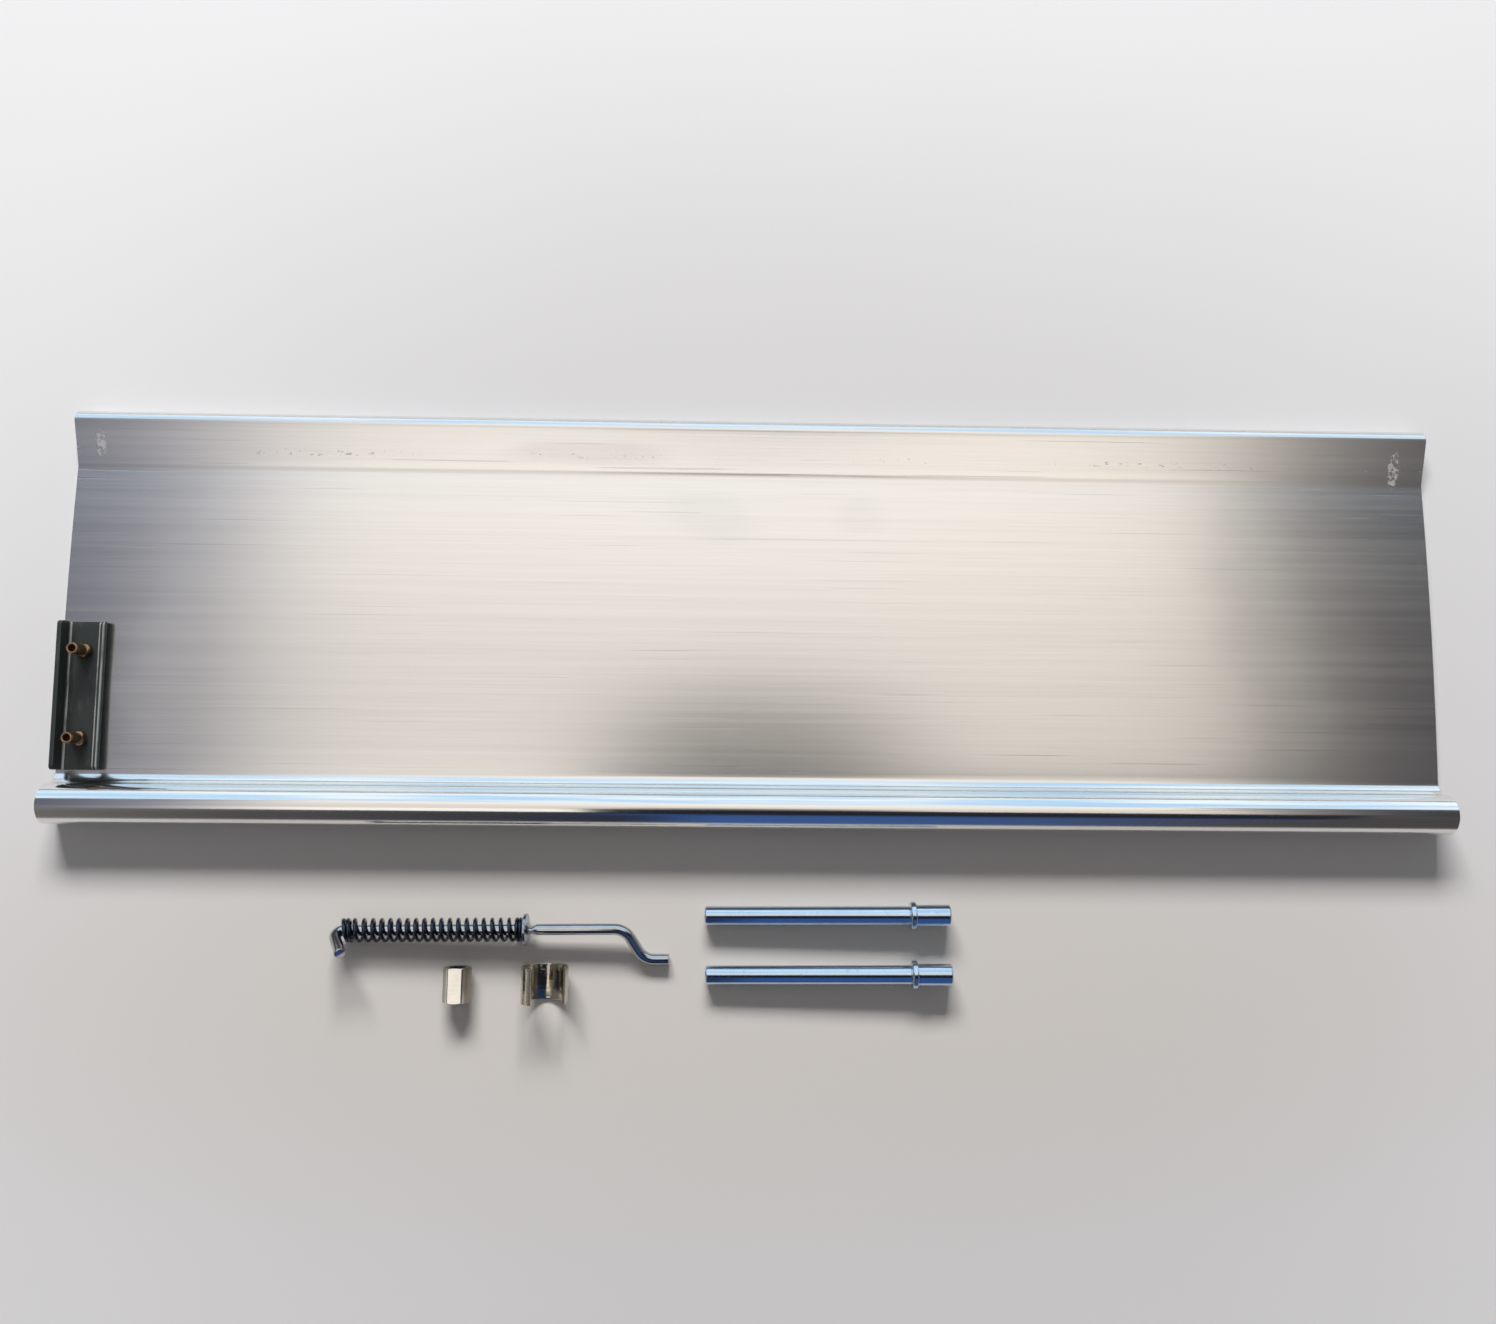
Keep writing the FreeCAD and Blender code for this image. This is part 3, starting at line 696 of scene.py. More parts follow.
def bracket_path(b):
    """The channel's section from rim to rim: a point on its outside, the way in, and what its end loses."""
    r = b.bend + b.wall
    quarter = [math.pi / 2 * i / CORNER_STEPS for i in range(CORNER_STEPS + 1)]
    path = [((0, b.tall - b.corner * (1 - math.cos(t))), (1, 0), b.corner * (1 - math.sin(t)))
            for t in quarter]
    path.append(((0, (b.tall - b.corner + r) / 2), (1, 0), 0.0))
    first, second = [], []
    for bend, centre, start in ((first, r, math.pi), (second, b.width - r, 1.5 * math.pi)):
        for i in range(BEND_STEPS + 1):
            a = start + math.pi / 2 * i / BEND_STEPS
            out = Vector((math.cos(a), math.sin(a)))
            bend.append((Vector((centre, r)) + out * r, -out, 0.0))
    path += first + [((r + (b.width - 2 * r) * i / 8, 0), (0, 1), 0.0) for i in range(1, 8)] + second
    path += [((b.width, b.short - b.corner * (1 - math.sin(t))), (-1, 0), b.corner * (1 - math.cos(t)))
             for t in quarter]
    return path


def build_bracket(kit, material):
    """The channel as a sheet: rows along its bent section, columns along its length."""
    b = kit.bracket
    columns = 40
    bm = bmesh.new()
    sheets = []
    for depth in (0.0, b.wall):
        rows = []
        for point, inward, cut in bracket_path(b):
            x, z = Vector(point) + Vector(inward) * depth
            half = b.span / 2 - cut
            rows.append([bm.verts.new((x, half * (2 * k / columns - 1), z)) for k in range(columns + 1)])
        bridge(bm, rows, closed=False, caps=False)
        sheets.append(rows)
    outer, inner = sheets
    for end in (0, -1):
        bridge(bm, [outer[end], inner[end]], closed=False, caps=False)
        bridge(bm, [[row[end] for row in rows] for rows in sheets], closed=False, caps=False)
    bmesh.ops.remove_doubles(bm, verts=bm.verts, dist=1e-6)
    bmesh.ops.recalc_face_normals(bm, faces=bm.faces)
    rims = [e for e in bm.edges if len(e.link_faces) == 2 and e.calc_face_angle() > math.radians(50)]
    bmesh.ops.bevel(bm, geom=rims, offset=0.00035, segments=3, profile=0.5, affect="EDGES",
                    clamp_overlap=True)
    bm.transform(bracket_place(kit))
    return make_piece("channel_bracket_painted", bm, material, 40.0)


def rivet_master(kit, material):
    """One rivet body about its own Z axis: flat head, shank, three folded lobes and a hollow tail."""
    r, seat = kit.rivets, kit.bracket.wall
    under = -(kit.flap.plate + 0.00022)
    tip, folded, neck = seat + r.tail, seat + r.bulb_height, 0.0006
    rows = [(r.bore, under, 0), (r.head - 0.0003, under, 0), (r.head, under + 0.0002, 0),
            (r.shank, under + r.head_depth, 0), (r.shank, seat, 0)]
    for t in (i / 24 for i in range(1, 24)):
        rows.append((r.stem, seat + r.bulb_height * t, math.sin(math.pi * t) ** 0.6))
    rows += [(r.stem, folded, 0), (r.stem * 0.985, folded + neck, 0)]
    for t in (i / 12 for i in range(1, 12)):
        rows.append((r.stem * (0.985 + 0.02 * t), folded + neck + (tip - folded - 2 * neck) * t, 0))
    lip = (r.stem - r.bore) / 2
    rows += [(radius, z, 0) for radius, z in arc_points((r.stem - lip, tip - lip), lip, 0, math.pi, 8)]
    bm = bmesh.new()
    rings = []
    for radius, z, swell in rows:
        ring = []
        for a in turns_of(RIVET_SIDES):
            lobe = abs(math.cos(1.5 * (a - 1.15))) ** 0.45
            wide = radius + (r.bulb - r.stem) * swell * (0.18 + 0.82 * lobe)
            wide *= 1 + 0.01 * math.sin(3 * a + z * 900)
            droop = 0.0007 * swell * (1 - lobe)
            ring.append(bm.verts.new((wide * math.cos(a), wide * math.sin(a), z - droop)))
        rings.append(ring)
    bridge(bm, rings + [rings[0]], caps=False)
    return make_piece("rivet_master", bm, material, 50.0)


def rivet_tree():
    """Copies of a rivet in a row along Y, each turned a little from the last."""
    sheet, group = new_tree("rivets_in_a_row", {
        "Rivet": ("Object", None), "Count": ("Int", 2), "Spacing": ("Float", 0.05), "Shift": ("Float", 0.0),
        "Turn": ("Float", 0.8), "Finish": ("Material", None)})
    count, spacing = group.other("Count"), group.other("Spacing")
    rivet = sheet.add("GeometryNodeObjectInfo", {}, {"Object": group.other("Rivet")}, "Geometry")
    start = sheet.add("ShaderNodeCombineXYZ", {}, {"Y": group.other("Shift") - spacing * (count - 1) * 0.5})
    offset = sheet.add("ShaderNodeCombineXYZ", {}, {"Y": spacing})
    row = sheet.add("GeometryNodeMeshLine", {}, {"Count": count, "Start Location": start, "Offset": offset})
    turned = sheet.add("ShaderNodeCombineXYZ", {}, {
        "Z": sheet.add("GeometryNodeInputIndex") * group.other("Turn")})
    turned = sheet.add("FunctionNodeEulerToRotation", {}, {"Euler": turned})
    copies = sheet.add("GeometryNodeInstanceOnPoints", {}, {
        "Points": row, "Instance": rivet, "Rotation": turned})
    return finish_tree(sheet, copies, group)


def build_rivets(kit, material):
    r = kit.rivets
    master = rivet_master(kit, material)
    place = bracket_place(kit) @ Matrix.Translation((kit.bracket.width / 2, 0, 0))
    bm = grown("rivet_bodies", rivet_tree(), {
        "Rivet": master, "Count": 2, "Spacing": r.spacing, "Shift": r.shift, "Turn": r.turn,
        "Finish": material})
    bm.transform(place)
    bpy.data.objects.remove(master)
    return make_piece("rivet_bodies", bm, material, 50.0)


# ---------------------------------------------------------------- rod, spring, washer

def rod_line(w, tilt, height):
    """Corners of the rod's centre line in its own frame."""
    away = Vector((0, -math.sin(w.leg_lean), math.cos(w.leg_lean)))
    leg = Vector((1, 0, 0)) * math.cos(w.leg_angle) + away * math.sin(w.leg_angle)
    tip_start = w.straight + w.offset / math.tan(w.crank)
    spare = height + tip_start * math.sin(tilt) - w.rod * math.cos(tilt)
    drop = math.asin(spare / (w.offset * math.cos(tilt)))
    shift = Vector((0, -math.cos(drop), -math.sin(drop))) * w.offset
    corners = [leg * w.leg, Vector((0, 0, 0)), Vector((w.straight, 0, 0)),
               Vector((tip_start, 0, 0)) + shift, Vector((tip_start + w.tip, 0, 0)) + shift]
    return corners, leg


def bent_line(corners, radii, spacing):
    """Points along straight runs joined by tangent arcs."""
    points = [corners[0]]
    for before, corner, after, radius in zip(corners, corners[1:], corners[2:], radii):
        back, ahead = (before - corner).normalized(), (after - corner).normalized()
        half = (math.pi - back.angle(ahead)) / 2
        start = corner + back * radius * math.tan(half)
        centre = corner + (back + ahead).normalized() * radius / math.cos(half)
        first, last = start - centre, corner + ahead * radius * math.tan(half) - centre
        steps = max(6, int(first.angle(last) / math.radians(5)))
        run = start - points[-1]
        count = max(1, int(run.length / spacing))
        points += [points[-1] + run * (i / count) for i in range(1, count)]
        sweep = first.angle(last)
        axis = first.cross(last).normalized()
        for i in range(steps + 1):
            points.append(centre + Matrix.Rotation(sweep * i / steps, 3, axis) @ first)
    run = corners[-1] - points[-1]
    count = max(1, int(run.length / spacing))
    base = points[-1]
    points += [base + run * (i / count) for i in range(1, count + 1)]
    return points


def wire_tree():
    """A round bar along the object's own line of edges, thinner where the point attribute girth says."""
    sheet, group = new_tree("bar_along_line", {
        "Radius": ("Float", 0.003), "Sides": ("Int", 32), "Finish": ("Material", None)})
    line = sheet.add("GeometryNodeMeshToCurve", {}, {0: group.other("Geometry")})
    girth = sheet.add("GeometryNodeInputNamedAttribute", {"data_type": "FLOAT"}, {"Name": "girth"})
    section = sheet.add("GeometryNodeCurvePrimitiveCircle", {}, {
        "Resolution": group.other("Sides"), "Radius": group.other("Radius")})
    bar = sheet.add("GeometryNodeCurveToMesh", {}, {
        "Curve": line, "Profile Curve": section, "Scale": girth, "Fill Caps": True})
    return finish_tree(sheet, bar, group)


def coil_tree():
    """A round-wire spring along +X whose first and last turns lie closed."""
    sheet, group = new_tree("closed_end_coil", {
        "Span": ("Float", 0.1), "Mean Radius": ("Float", 0.006), "Wire": ("Float", 0.002),
        "Turns": ("Float", 20.0), "Closed Turns": ("Float", 1.5), "Points": ("Int", 800),
        "Sides": ("Int", 14), "Finish": ("Material", None)})
    span, mean, wire = group.other("Span"), group.other("Mean Radius"), group.other("Wire")
    turns, closed, count = group.other("Turns"), group.other("Closed Turns"), group.other("Points")
    line = sheet.add("GeometryNodeCurvePrimitiveLine", {}, {"End": (1, 0, 0)})
    line = sheet.add("GeometryNodeResampleCurve", {}, {"Curve": line, "Count": count})
    turn = sheet.add("GeometryNodeInputIndex") / (count - 1) * turns
    shut = wire * 1.03
    rest = (span - wire - shut * closed * 2) / (turns - closed * 2)
    first = turn.math("MINIMUM", turn, closed)
    last = turn.math("MAXIMUM", turn - (turns - closed), 0.0)
    x = wire * 0.5 + (first + last) * shut + (turn - first - last) * rest
    phase = turn * (2 * math.pi)
    spot = sheet.add("ShaderNodeCombineXYZ", {}, {
        "X": x, "Y": phase.math("COSINE", phase) * mean, "Z": phase.math("SINE", phase) * mean})
    moved = sheet.add("GeometryNodeSetPosition", {}, {"Geometry": line, "Position": spot})
    section = sheet.add("GeometryNodeCurvePrimitiveCircle", {}, {
        "Resolution": group.other("Sides"), "Radius": wire * 0.5})
    coil = sheet.add("GeometryNodeCurveToMesh", {}, {
        "Curve": moved, "Profile Curve": section, "Fill Caps": True})
    return finish_tree(sheet, coil, group)


def build_rod(w, material):
    place, tilt, height, start = rod_place(w)
    corners, _leg = rod_line(w, tilt, height)
    points = bent_line(corners, [w.leg_bend, w.crank_bend, w.crank_bend], 0.0008)
    chamfer, stake_span = 0.0005, 0.005
    ends = []
    for end, following in ((points[0], points[1]), (points[-1], points[-2])):
        inward = (following - end).normalized()
        ends.append([(end, 1 - chamfer / w.rod), (end + inward * chamfer * 0.4, 1 - chamfer * 0.3 / w.rod),
                     (end + inward * chamfer, 1.0)])
    inner = [(p, 1.0) for p in points if (p - points[0]).length > chamfer * 1.2
             and (p - points[-1]).length > chamfer * 1.2]
    line = ends[0] + inner + ends[1][::-1]
    base = bpy.data.meshes.new("rod_line")
    base.from_pydata([p for p, _g in line], [(i, i + 1) for i in range(len(line) - 1)], [])
    girth = base.attributes.new("girth", "FLOAT", "POINT")
    girth.data.foreach_set("value", [g for _p, g in line])
    bm = grown("latch_rod_bar", wire_tree(), {"Radius": w.rod, "Sides": 48, "Finish": material}, base)
    stake = start + w.coil_span + w.gap + w.washer_wall + w.gap
    for vertex in bm.verts:
        x, y, z = vertex.co
        if math.hypot(y, z) > w.rod * 1.2:
            continue
        t = (x - stake) / stake_span
        if 0 < t < 1:
            press = math.sin(math.pi * t) ** 0.7
            ear = min(1.0, t * 6) * min(1.0, (1 - t) * 4)
            upright = abs(z) / w.rod
            vertex.co.y = y * (1 - 0.30 * press)
            vertex.co.z = z * (1 + 0.45 * ear * upright ** 2)
    bm.transform(place)
    return make_piece("latch_rod_bar", bm, material, 40.0)


def build_spring(w, material):
    """The spring, with its first turns leaning on the bent leg."""
    place, tilt, height, start = rod_place(w)
    leg = rod_line(w, tilt, height)[1]
    side = Vector((0, leg.y, leg.z)).normalized()
    pull, reach = 0.0016, 0.007
    bm = grown("rod_spring", coil_tree(), {
        "Span": w.coil_span, "Mean Radius": w.coil - w.wire / 2, "Wire": w.wire, "Turns": w.turns,
        "Closed Turns": w.closed, "Points": 1100, "Sides": 14, "Finish": material})
    for vertex in bm.verts:
        lean = 1 - (vertex.co.y * side.y + vertex.co.z * side.z) / w.coil
        vertex.co.x += start - pull * lean * math.exp(-vertex.co.x / reach)
    bm.transform(place)
    return make_piece("rod_spring", bm, material, 60.0), place, start


def build_washer(w, material):
    place, _tilt, _height, start = rod_place(w)
    near = start + w.coil_span + w.gap
    far, hole = near + w.washer_wall, w.rod + 0.0003
    middle = (near, (hole + w.washer) / 2)
    outline = rounded([middle, (near, w.washer), (far, w.washer), (far, hole), (near, hole), middle], 0.0003)
    bm = bmesh.new()
    rings = lathe(bm, outline[:-1], place)
    bridge(bm, rings + [rings[0]], caps=False)
    return make_piece("spring_washer_plated", bm, material, 50.0)


# ---------------------------------------------------------------- loose pieces

def pin_place(p, x, y):
    """A pin's frame: +X along it. It lies on its long end and its collar."""
    tilt = math.atan((p.collar - p.journal) / (p.span + p.collar_width / 2 - p.chamfer))
    height = p.journal * math.cos(tilt) - p.chamfer * math.sin(tilt)
    turn = Matrix.Rotation(math.radians(PIN_TURN), 4, "Z") @ Matrix.Rotation(-tilt, 4, "Y")
    return Matrix.Translation((x, y, FLOOR + height)) @ turn


def build_pin(p, name, x, y, material):
    """Turned pin: long journal, shallow relief, rounded collar and thicker stub, with centred ends."""
    far = p.span + p.collar_width
    end = far + p.stub_span
    centre, centre_depth, groove = 0.0015, 0.0012, p.journal - p.relief
    outline = rounded([
        (0, 0), (0, p.journal - p.chamfer, 0.0002), (p.chamfer, p.journal, 0.0003),
        (p.span - 0.0006, p.journal, 0.0002), (p.span - 0.0004, groove, 0.0001), (p.span, groove, 0.0001),
        (p.span, p.collar, 0.0014), (far, p.collar, 0.0014), (far, p.stub, 0.0003),
        (end - p.chamfer, p.stub, 0.0003), (end, p.stub - p.chamfer, 0.0002), (end, 0),
    ], 0.0002, 6)
    first, last = [(centre_depth, 0.00001), (0, centre)], [(end, centre), (end - centre_depth, 0.00001)]
    bm = bmesh.new()
    bridge(bm, lathe(bm, first + outline[1:-1] + last, pin_place(p, x, y)))
    return make_piece(name, bm, material, 30.0)


def build_spacer(s, material):
    """Hexagonal sleeve with turned chamfers and a plain bore."""
    corner = s.flats / math.sqrt(3)
    place = Matrix.Translation((*SPACER_AT, FLOOR + s.flats / 2))
    rows = [0.0, 0.0001, 0.0002, 0.0003, 0.00045, 0.0007, 0.0012, s.span / 2]
    rows += [s.span - d for d in rows[-2::-1]]
    bm = bmesh.new()
    outer, inner = [], []
    for d in rows:
        near = min(d, s.span - d)
        limit = min(corner - 0.00018, corner - s.chamfer + near * 2 - (0.00012 if near < 0.00005 else 0.0))
        ring, hole = [], []
        for a in turns_of(SPACER_SIDES):
            hexagon = s.flats / 2 / math.cos(a % (math.pi / 3) - math.pi / 6)
            for verts, r in ((ring, min(hexagon, limit)), (hole, s.bore + max(0.0, 0.0004 - near))):
                verts.append(bm.verts.new(place @ Vector((r * math.cos(a), d - s.span / 2, r * math.sin(a)))))
        outer.append(ring)
        inner.append(hole)
    bridge(bm, outer, caps=False)
    bridge(bm, inner, caps=False)
    for end in (0, -1):
        bridge(bm, [outer[end], inner[end]], caps=False)
    return make_piece("hex_spacer_plated", bm, material, 18.0)


def build_clip(c, material):
    """Open ring of spring steel with rounded edges."""
    place = Matrix.Translation((*CLIP_AT, FLOOR + c.bore + c.wall)) @ Matrix.Rotation(c.roll, 4, "Y")
    middle, count = c.bore + c.wall / 2, 140
    section = []
    for side, face, start in ((1, 1, 0), (-1, 1, 90), (-1, -1, 180), (1, -1, 270)):
        centre = (side * (c.span / 2 - c.edge), face * (c.wall / 2 - c.edge))
        section += arc_points(centre, c.edge, math.radians(start), math.radians(start + 90), 4)
    bm = bmesh.new()
    rings = []
    for k in range(count + 1):
        a = c.opening / 2 + (2 * math.pi - c.opening) * k / count
        squeeze = {0: 0.72, 1: 0.93}.get(min(k, count - k), 1.0)
        ring = []
        for y, off in section:
            radius = middle + off * squeeze
            ring.append(bm.verts.new(place @ Vector((
                radius * math.sin(a), y * (1 - (1 - squeeze) * 0.02), radius * math.cos(a)))))
        rings.append(ring)
    bridge(bm, rings)
    return make_piece("tube_clip_plated", bm, material, 40.0)


# ---------------------------------------------------------------- operators

class KitOperator:
    bl_options = {"REGISTER", "UNDO"}

    @property
    def kit(self):
        return bpy.context.scene.flap_kit


class FLAPKIT_OT_flap(KitOperator, bpy.types.Operator):
    """Build the aluminium extrusion"""
    bl_idname = "flapkit.flap"
    bl_label = "Aluminium Flap"

    def execute(self, context):
        kit = self.kit
        piece = build_flap(kit.flap, mill_aluminium(kit.finishes.aluminium, kit.flap))
        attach(piece, "flap")
        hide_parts("flap_panel")
        return {"FINISHED"}


class FLAPKIT_OT_bracket(KitOperator, bpy.types.Operator):
    """Build the painted channel bracket"""
    bl_idname = "flapkit.bracket"
    bl_label = "Channel Bracket"

    def execute(self, context):
        kit = self.kit
        paint = painted_black(kit.finishes.paint, kit.finishes.painted_highlight_colour, bracket_place(kit), kit.bracket)
        piece = build_bracket(kit, paint)
        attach(piece, "flap")
        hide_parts("channel_bracket")
        return {"FINISHED"}


class FLAPKIT_OT_rivets(KitOperator, bpy.types.Operator):
    """Build the two blind rivets and finish their mandrels"""
    bl_idname = "flapkit.rivets"
    bl_label = "Rivets"

    def execute(self, context):
        finishes = self.kit.finishes
        copper = plated("rivet_copper", finishes.copper, 0.26, 0.12, (300, 300, 300), 0.00004, 0.45)
        # The mandrels are painted near black as shade inside the hollow tails.
        painted_shade = plated("rivet_mandrel_steel", finishes.mandrel, 0.5, 0.2, (900, 900, 900), 0.00004, 0.5)
        piece = build_rivets(self.kit, copper)
        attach(piece, "flap")
        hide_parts("rivet_sleeve_1", "rivet_sleeve_2")
        for number in (1, 2):
            mandrel = frame["nodes"]["rivet_mandrel_%d" % number]
            mandrel.data.materials.clear()
            mandrel.data.materials.append(painted_shade)
        return {"FINISHED"}


class FLAPKIT_OT_rod(KitOperator, bpy.types.Operator):
    """Build the latch rod, its spring and its washer"""
    bl_idname = "flapkit.rod"
    bl_label = "Latch Rod"

    def execute(self, context):
        w, finishes = self.kit.wire, self.kit.finishes
        rod = build_rod(w, plated("rod_zinc", finishes.rod, 0.08, 0.06, (60, 1600, 1600), 0.000008))
        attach(rod, "latch_rod")
        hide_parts("spring_rod")
        dark = plated("spring_zinc", finishes.spring, 0.13, 0.08, (500, 500, 500), 0.00001, 0.6,
                      Coat_Weight=0.35, Coat_IOR=1.5, Coat_Roughness=0.06)
        spring, place, start = build_spring(w, dark)
        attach(spring, "latch_rod")
        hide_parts("compression_spring")
        joint = next(j for j in frame["joints"] if j["name"] == "compress_spring")
        keep = 1 - joint["range_m"][1] / w.coil_span
        axis = place.to_3x3() @ Vector((1, 0, 0))
        place @ Vector((start, 0, 0))
        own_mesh(spring)
        washer = build_washer(w, plated("washer_zinc", finishes.washer, 0.14, 0.08, (700, 700, 700)))
        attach(washer, "washer")
        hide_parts("spring_washer")
        return {"FINISHED"}


class FLAPKIT_OT_pins(KitOperator, bpy.types.Operator):
    """Build the two hinge pins"""
    bl_idname = "flapkit.pins"
    bl_label = "Hinge Pins"

    def execute(self, context):
        blue = plated("pin_zinc", self.kit.finishes.pin, 0.09, 0.05, (2200, 60, 60), 0.000006, 0.7)
        for letter, (x, y) in PINS_AT.items():
            piece = build_pin(self.kit.pin, "turned_pin_" + letter, x, y, blue)
            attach(piece, "pin_" + letter)
            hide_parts("hinge_pin_" + letter)
        return {"FINISHED"}


class FLAPKIT_OT_small(KitOperator, bpy.types.Operator):
    """Build the hexagonal spacer and the tube clip"""
    bl_idname = "flapkit.small"
    bl_label = "Spacer and Clip"

    def execute(self, context):
        finishes = self.kit.finishes
        spacer = build_spacer(self.kit.spacer, nickel_with_painted_light(finishes.spacer, finishes.painted_shade))
        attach(spacer, "spacer")
        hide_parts("hex_spacer")
        clip = build_clip(self.kit.clip, crinkled_nickel(finishes.clip))
        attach(clip, "clip")
        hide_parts("tube_clip")
        return {"FINISHED"}


# ---------------------------------------------------------------- stage

def add_light(name, place, target, size, radiance, tint):
    """A rectangular area light of a given radiance that faces a point."""
    light = bpy.data.lights.new(name, "AREA")
    light.shape = "RECTANGLE"
    light.size, light.size_y = size
    light.energy = radiance * math.pi * size[0] * size[1]
    light.color = tint
    lamp = bpy.data.objects.new(name, light)
    lamp.location = place
    lamp.rotation_euler = (Vector(target) - Vector(place)).to_track_quat("-Z", "Y").to_euler()
    bpy.context.scene.collection.objects.link(lamp)
    return lamp


def floor_with_painted_shade(rgb):
    """Smooth, nearly white sheet with painted shade: darker in the middle, and darker and warmer in front of
    the flap where the loose hardware lies.
    """
    def build(sheet, place):
        cloud = sheet.grain(place, 1.6, 3.0, 0.5)
        fine = sheet.grain(place, 700.0, 2.0, 0.6)
        # Painted shade: the middle spot darkens the floor, and the front spot darkens and warms it.
        middle = sheet.spot(place, (0.02, -0.02, 0), (0.46, 0.42, 1), (cloud - 0.5) * 0.5, 0.5)
        front = sheet.spot(place, (0.0, -0.10, 0), (0.40, 0.12, 1), (cloud - 0.5) * 0.4, 0.6)
        tint = sheet.blend(middle, (0.95, 0.95, 0.955, 1), opaque(rgb))
        tint = sheet.blend(front * 0.8, tint, (rgb[0] * 0.97, rgb[1] * 0.93, rgb[2] * 0.86, 1))
        return tint, cloud * 0.1 + 0.55, fine, 0.00001
    return make_finish("pale_floor", build, Metallic=0.0)


def add_card(name, corners, build, strength):
    """A glowing card that only the metal mirrors: it is not seen and lights nothing else."""
    bm = bmesh.new()
    bm.faces.new([bm.verts.new(corner) for corner in corners])
    material = bpy.data.materials.new(name)
    material.use_nodes = True
    sheet = Sheet(material.node_tree)
    shader = sheet.tree.nodes["Principled BSDF"]
    place = sheet.add("ShaderNodeTexCoord", {}, {}, "Object")
    sheet.tree.links.new(build(sheet, place).socket, shader.inputs["Emission Color"])
    shader.inputs["Base Color"].default_value = (0, 0, 0, 1)
    shader.inputs["Specular IOR Level"].default_value = 0.0
    shader.inputs["Emission Strength"].default_value = strength
    card = make_piece(name, bm, material)
    card.visible_camera = False
    card.visible_diffuse = False
    card.visible_shadow = False


def ceiling_glow(sheet, place):
    """Warm ceiling, brighter to the front and back, with dark ends and a soft dark place over the middle."""
    cloud = sheet.grain(place, 2.2, 3.0, 0.6)
    along = sheet.ramp(sheet.parts(place, "X") * 0.25 + 0.5, (0.09, (0.10, 0.11, 0.15)),
                       (0.165, (0.24, 0.25, 0.31)), (0.21, (0.60, 0.59, 0.61)), (0.25, (0.98, 0.93, 0.88)),
                       (0.50, (1.0, 0.95, 0.90)), (0.785, (1.0, 0.93, 0.85)), (0.822, (0.26, 0.245, 0.235)),
                       (0.89, (0.05, 0.05, 0.06)))
    back = sheet.step(sheet.parts(place, "Y"), 0.0, 1.0)
    front = 1 - sheet.step(sheet.parts(place, "Y"), -0.40, -0.12)
    light = 0.82 + back * 0.24 + front * 0.36 + (cloud - 0.5) * 0.08
    dark = sheet.spot(place, (0.06, -0.03, 0), (0.33, 0.19, 1), (cloud - 0.5) * 0.4, 0.5)
    light = light * (1 - dark * 0.72)
    return sheet.add("ShaderNodeVectorMath", {"operation": "SCALE"}, {0: along, "Scale": light})


def sky_glow(sheet, place):
    """Pale blue daylight with whiter patches."""
    patch = sheet.step(sheet.grain(sheet.stretch(place, 1.6, 1.0, 1.2), 1.0, 3.0, 0.6), 0.38, 0.62)
    return sheet.blend(patch, (0.46, 0.72, 1.0, 1), (1.0, 1.08, 1.12, 1))


def front_glow(sheet, place):
    """A dim room in front: brown-grey to the sides and deep blue in the middle."""
    return sheet.ramp(sheet.parts(place, "X") * 0.125 + 0.5, (0.29, (0.20, 0.19, 0.185)),
                      (0.37, (0.085, 0.08, 0.08)), (0.475, (0.02, 0.026, 0.045)),
                      (0.495, (0.045, 0.11, 0.32)), (0.56, (0.045, 0.10, 0.27)), (0.64, (0.07, 0.065, 0.065)))


def person_glow(sheet, place):
    """The dark shape of somebody leaning over the front."""
    deep = sheet.step(sheet.parts(place, "Y"), -0.22, -0.30)
    return sheet.blend(deep, (0.012, 0.014, 0.02, 1), (0.03, 0.07, 0.2, 1))


def room_colour(sheet):
    """Even soft light, a little brighter near the horizon."""
    aim = sheet.add("ShaderNodeTexCoord", {}, {}, "Generated")
    low = 1 - sheet.step(sheet.parts(aim, "Z"), 0.05, 0.45)
    return sheet.blend(low, (0.15, 0.148, 0.15, 1), (0.30, 0.298, 0.30, 1))


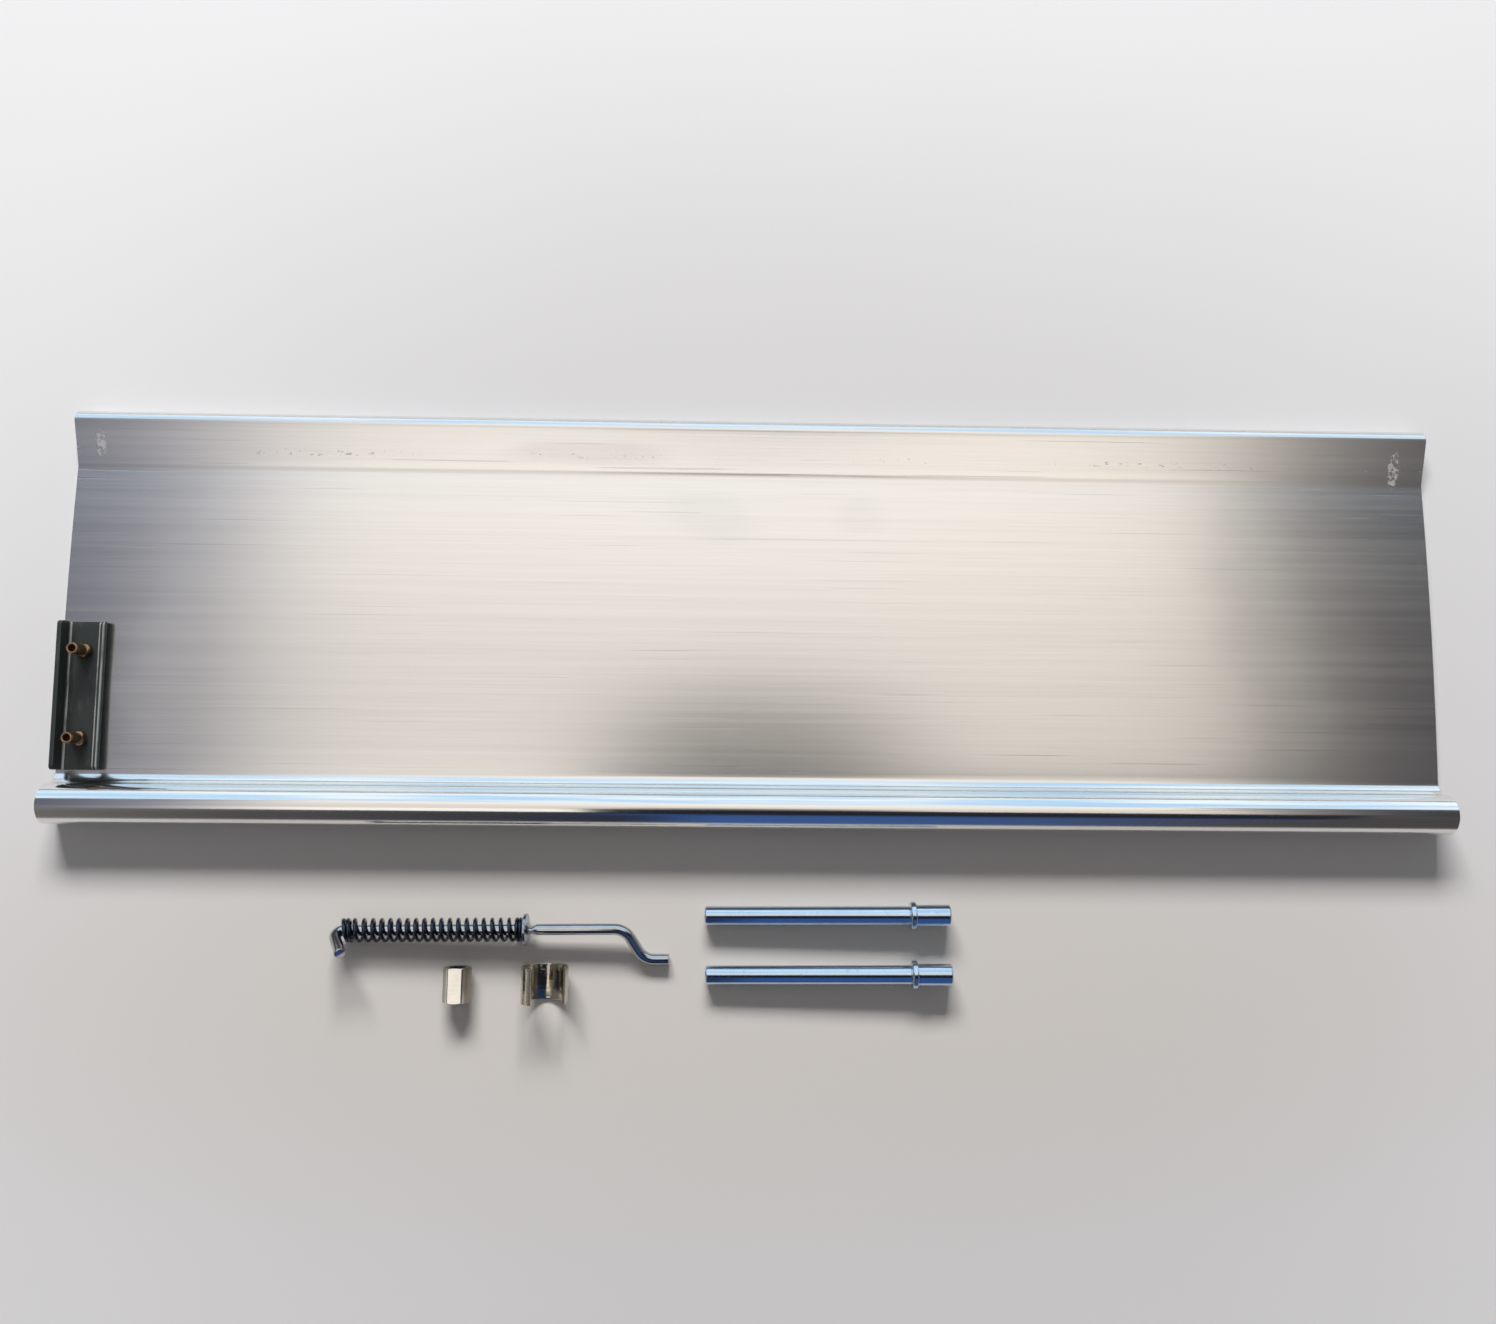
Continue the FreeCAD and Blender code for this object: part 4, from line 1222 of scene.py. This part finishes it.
class FLAPKIT_OT_stage(KitOperator, bpy.types.Operator):
    """Lay the floor and set the lights and the camera"""
    bl_idname = "flapkit.stage"
    bl_label = "Stage"

    def execute(self, context):
        scene, stage = context.scene, self.kit.stage
        bm = bmesh.new()
        sides = ((-1, -1), (1, -1), (1, 1), (-1, 1))
        bm.faces.new([bm.verts.new((x * STAGE_HALF, y * STAGE_HALF, FLOOR - 0.00002)) for x, y in sides])
        make_piece("floor", bm, floor_with_painted_shade(self.kit.finishes.floor))
        window = add_light("window", WINDOW_AT, WINDOW_AIM, WINDOW_SIZE, stage.key, (1.0, 0.985, 0.98))
        window.visible_glossy = False
        add_card("ceiling", ((-2, -0.8, 2), (2, -0.8, 2), (2, 1.2, 2), (-2, 1.2, 2)),
                 ceiling_glow, stage.ceiling)
        add_card("sky", ((-4, 1.2, 2), (4, 1.2, 2), (4, 3.2, 0.45), (-4, 3.2, 0.45)), sky_glow, 1.1)
        add_card("front", ((-4, -2, 0.25), (4, -2, 0.25), (4, -0.8, 2.0), (-4, -0.8, 2.0)), front_glow, 1.0)
        corners = ((-0.15, -0.34, 0.45), (0.6, -0.34, 0.45), (0.6, -0.03, 0.45), (-0.15, -0.03, 0.45))
        add_card("person", corners, person_glow, 1.0)
        world = bpy.data.worlds.new("room")
        scene.world = world
        world.use_nodes = True
        shader = world.node_tree.nodes["Background"]
        world.node_tree.links.new(room_colour(Sheet(world.node_tree)).socket, shader.inputs["Color"])
        shader.inputs["Strength"].default_value = stage.sky
        camera_data = bpy.data.cameras.new("camera")
        camera_data.lens = stage.lens
        camera_data.sensor_width = 36.0
        camera_data.clip_start = 0.01
        camera = bpy.data.objects.new("camera", camera_data)
        camera.location = CAMERA_AT
        camera.rotation_euler = Euler([math.radians(a) for a in CAMERA_TURN], "XYZ")
        scene.collection.objects.link(camera)
        scene.camera = camera
        scene.view_settings.view_transform = "Standard"
        return {"FINISHED"}


class FLAPKIT_PT_panel(bpy.types.Panel):
    bl_idname = "FLAPKIT_PT_panel"
    bl_label = "Flap Kit"
    bl_space_type = "VIEW_3D"
    bl_region_type = "UI"
    bl_category = "Flap Kit"

    def draw(self, context):
        for operator in OPERATORS:
            self.layout.operator(operator.bl_idname)


GROUPS = (FlapSizes, BracketSizes, RivetSizes, WireSizes, PinSizes, SpacerSizes, ClipSizes, Finishes,
          StageSettings, KitSettings)
OPERATORS = (FLAPKIT_OT_flap, FLAPKIT_OT_bracket, FLAPKIT_OT_rivets, FLAPKIT_OT_rod,
             FLAPKIT_OT_pins, FLAPKIT_OT_small, FLAPKIT_OT_stage)


def register():
    for item in GROUPS + OPERATORS + (FLAPKIT_PT_panel,):
        bpy.utils.register_class(item)
    bpy.types.Scene.flap_kit = PointerProperty(type=KitSettings)


def unregister():
    del bpy.types.Scene.flap_kit
    for item in reversed(GROUPS + OPERATORS + (FLAPKIT_PT_panel,)):
        bpy.utils.unregister_class(item)


def main():
    register()
    for operator in OPERATORS:
        group, name = operator.bl_idname.split(".")
        getattr(getattr(bpy.ops, group), name)()


if __name__ == "__main__":
    main()
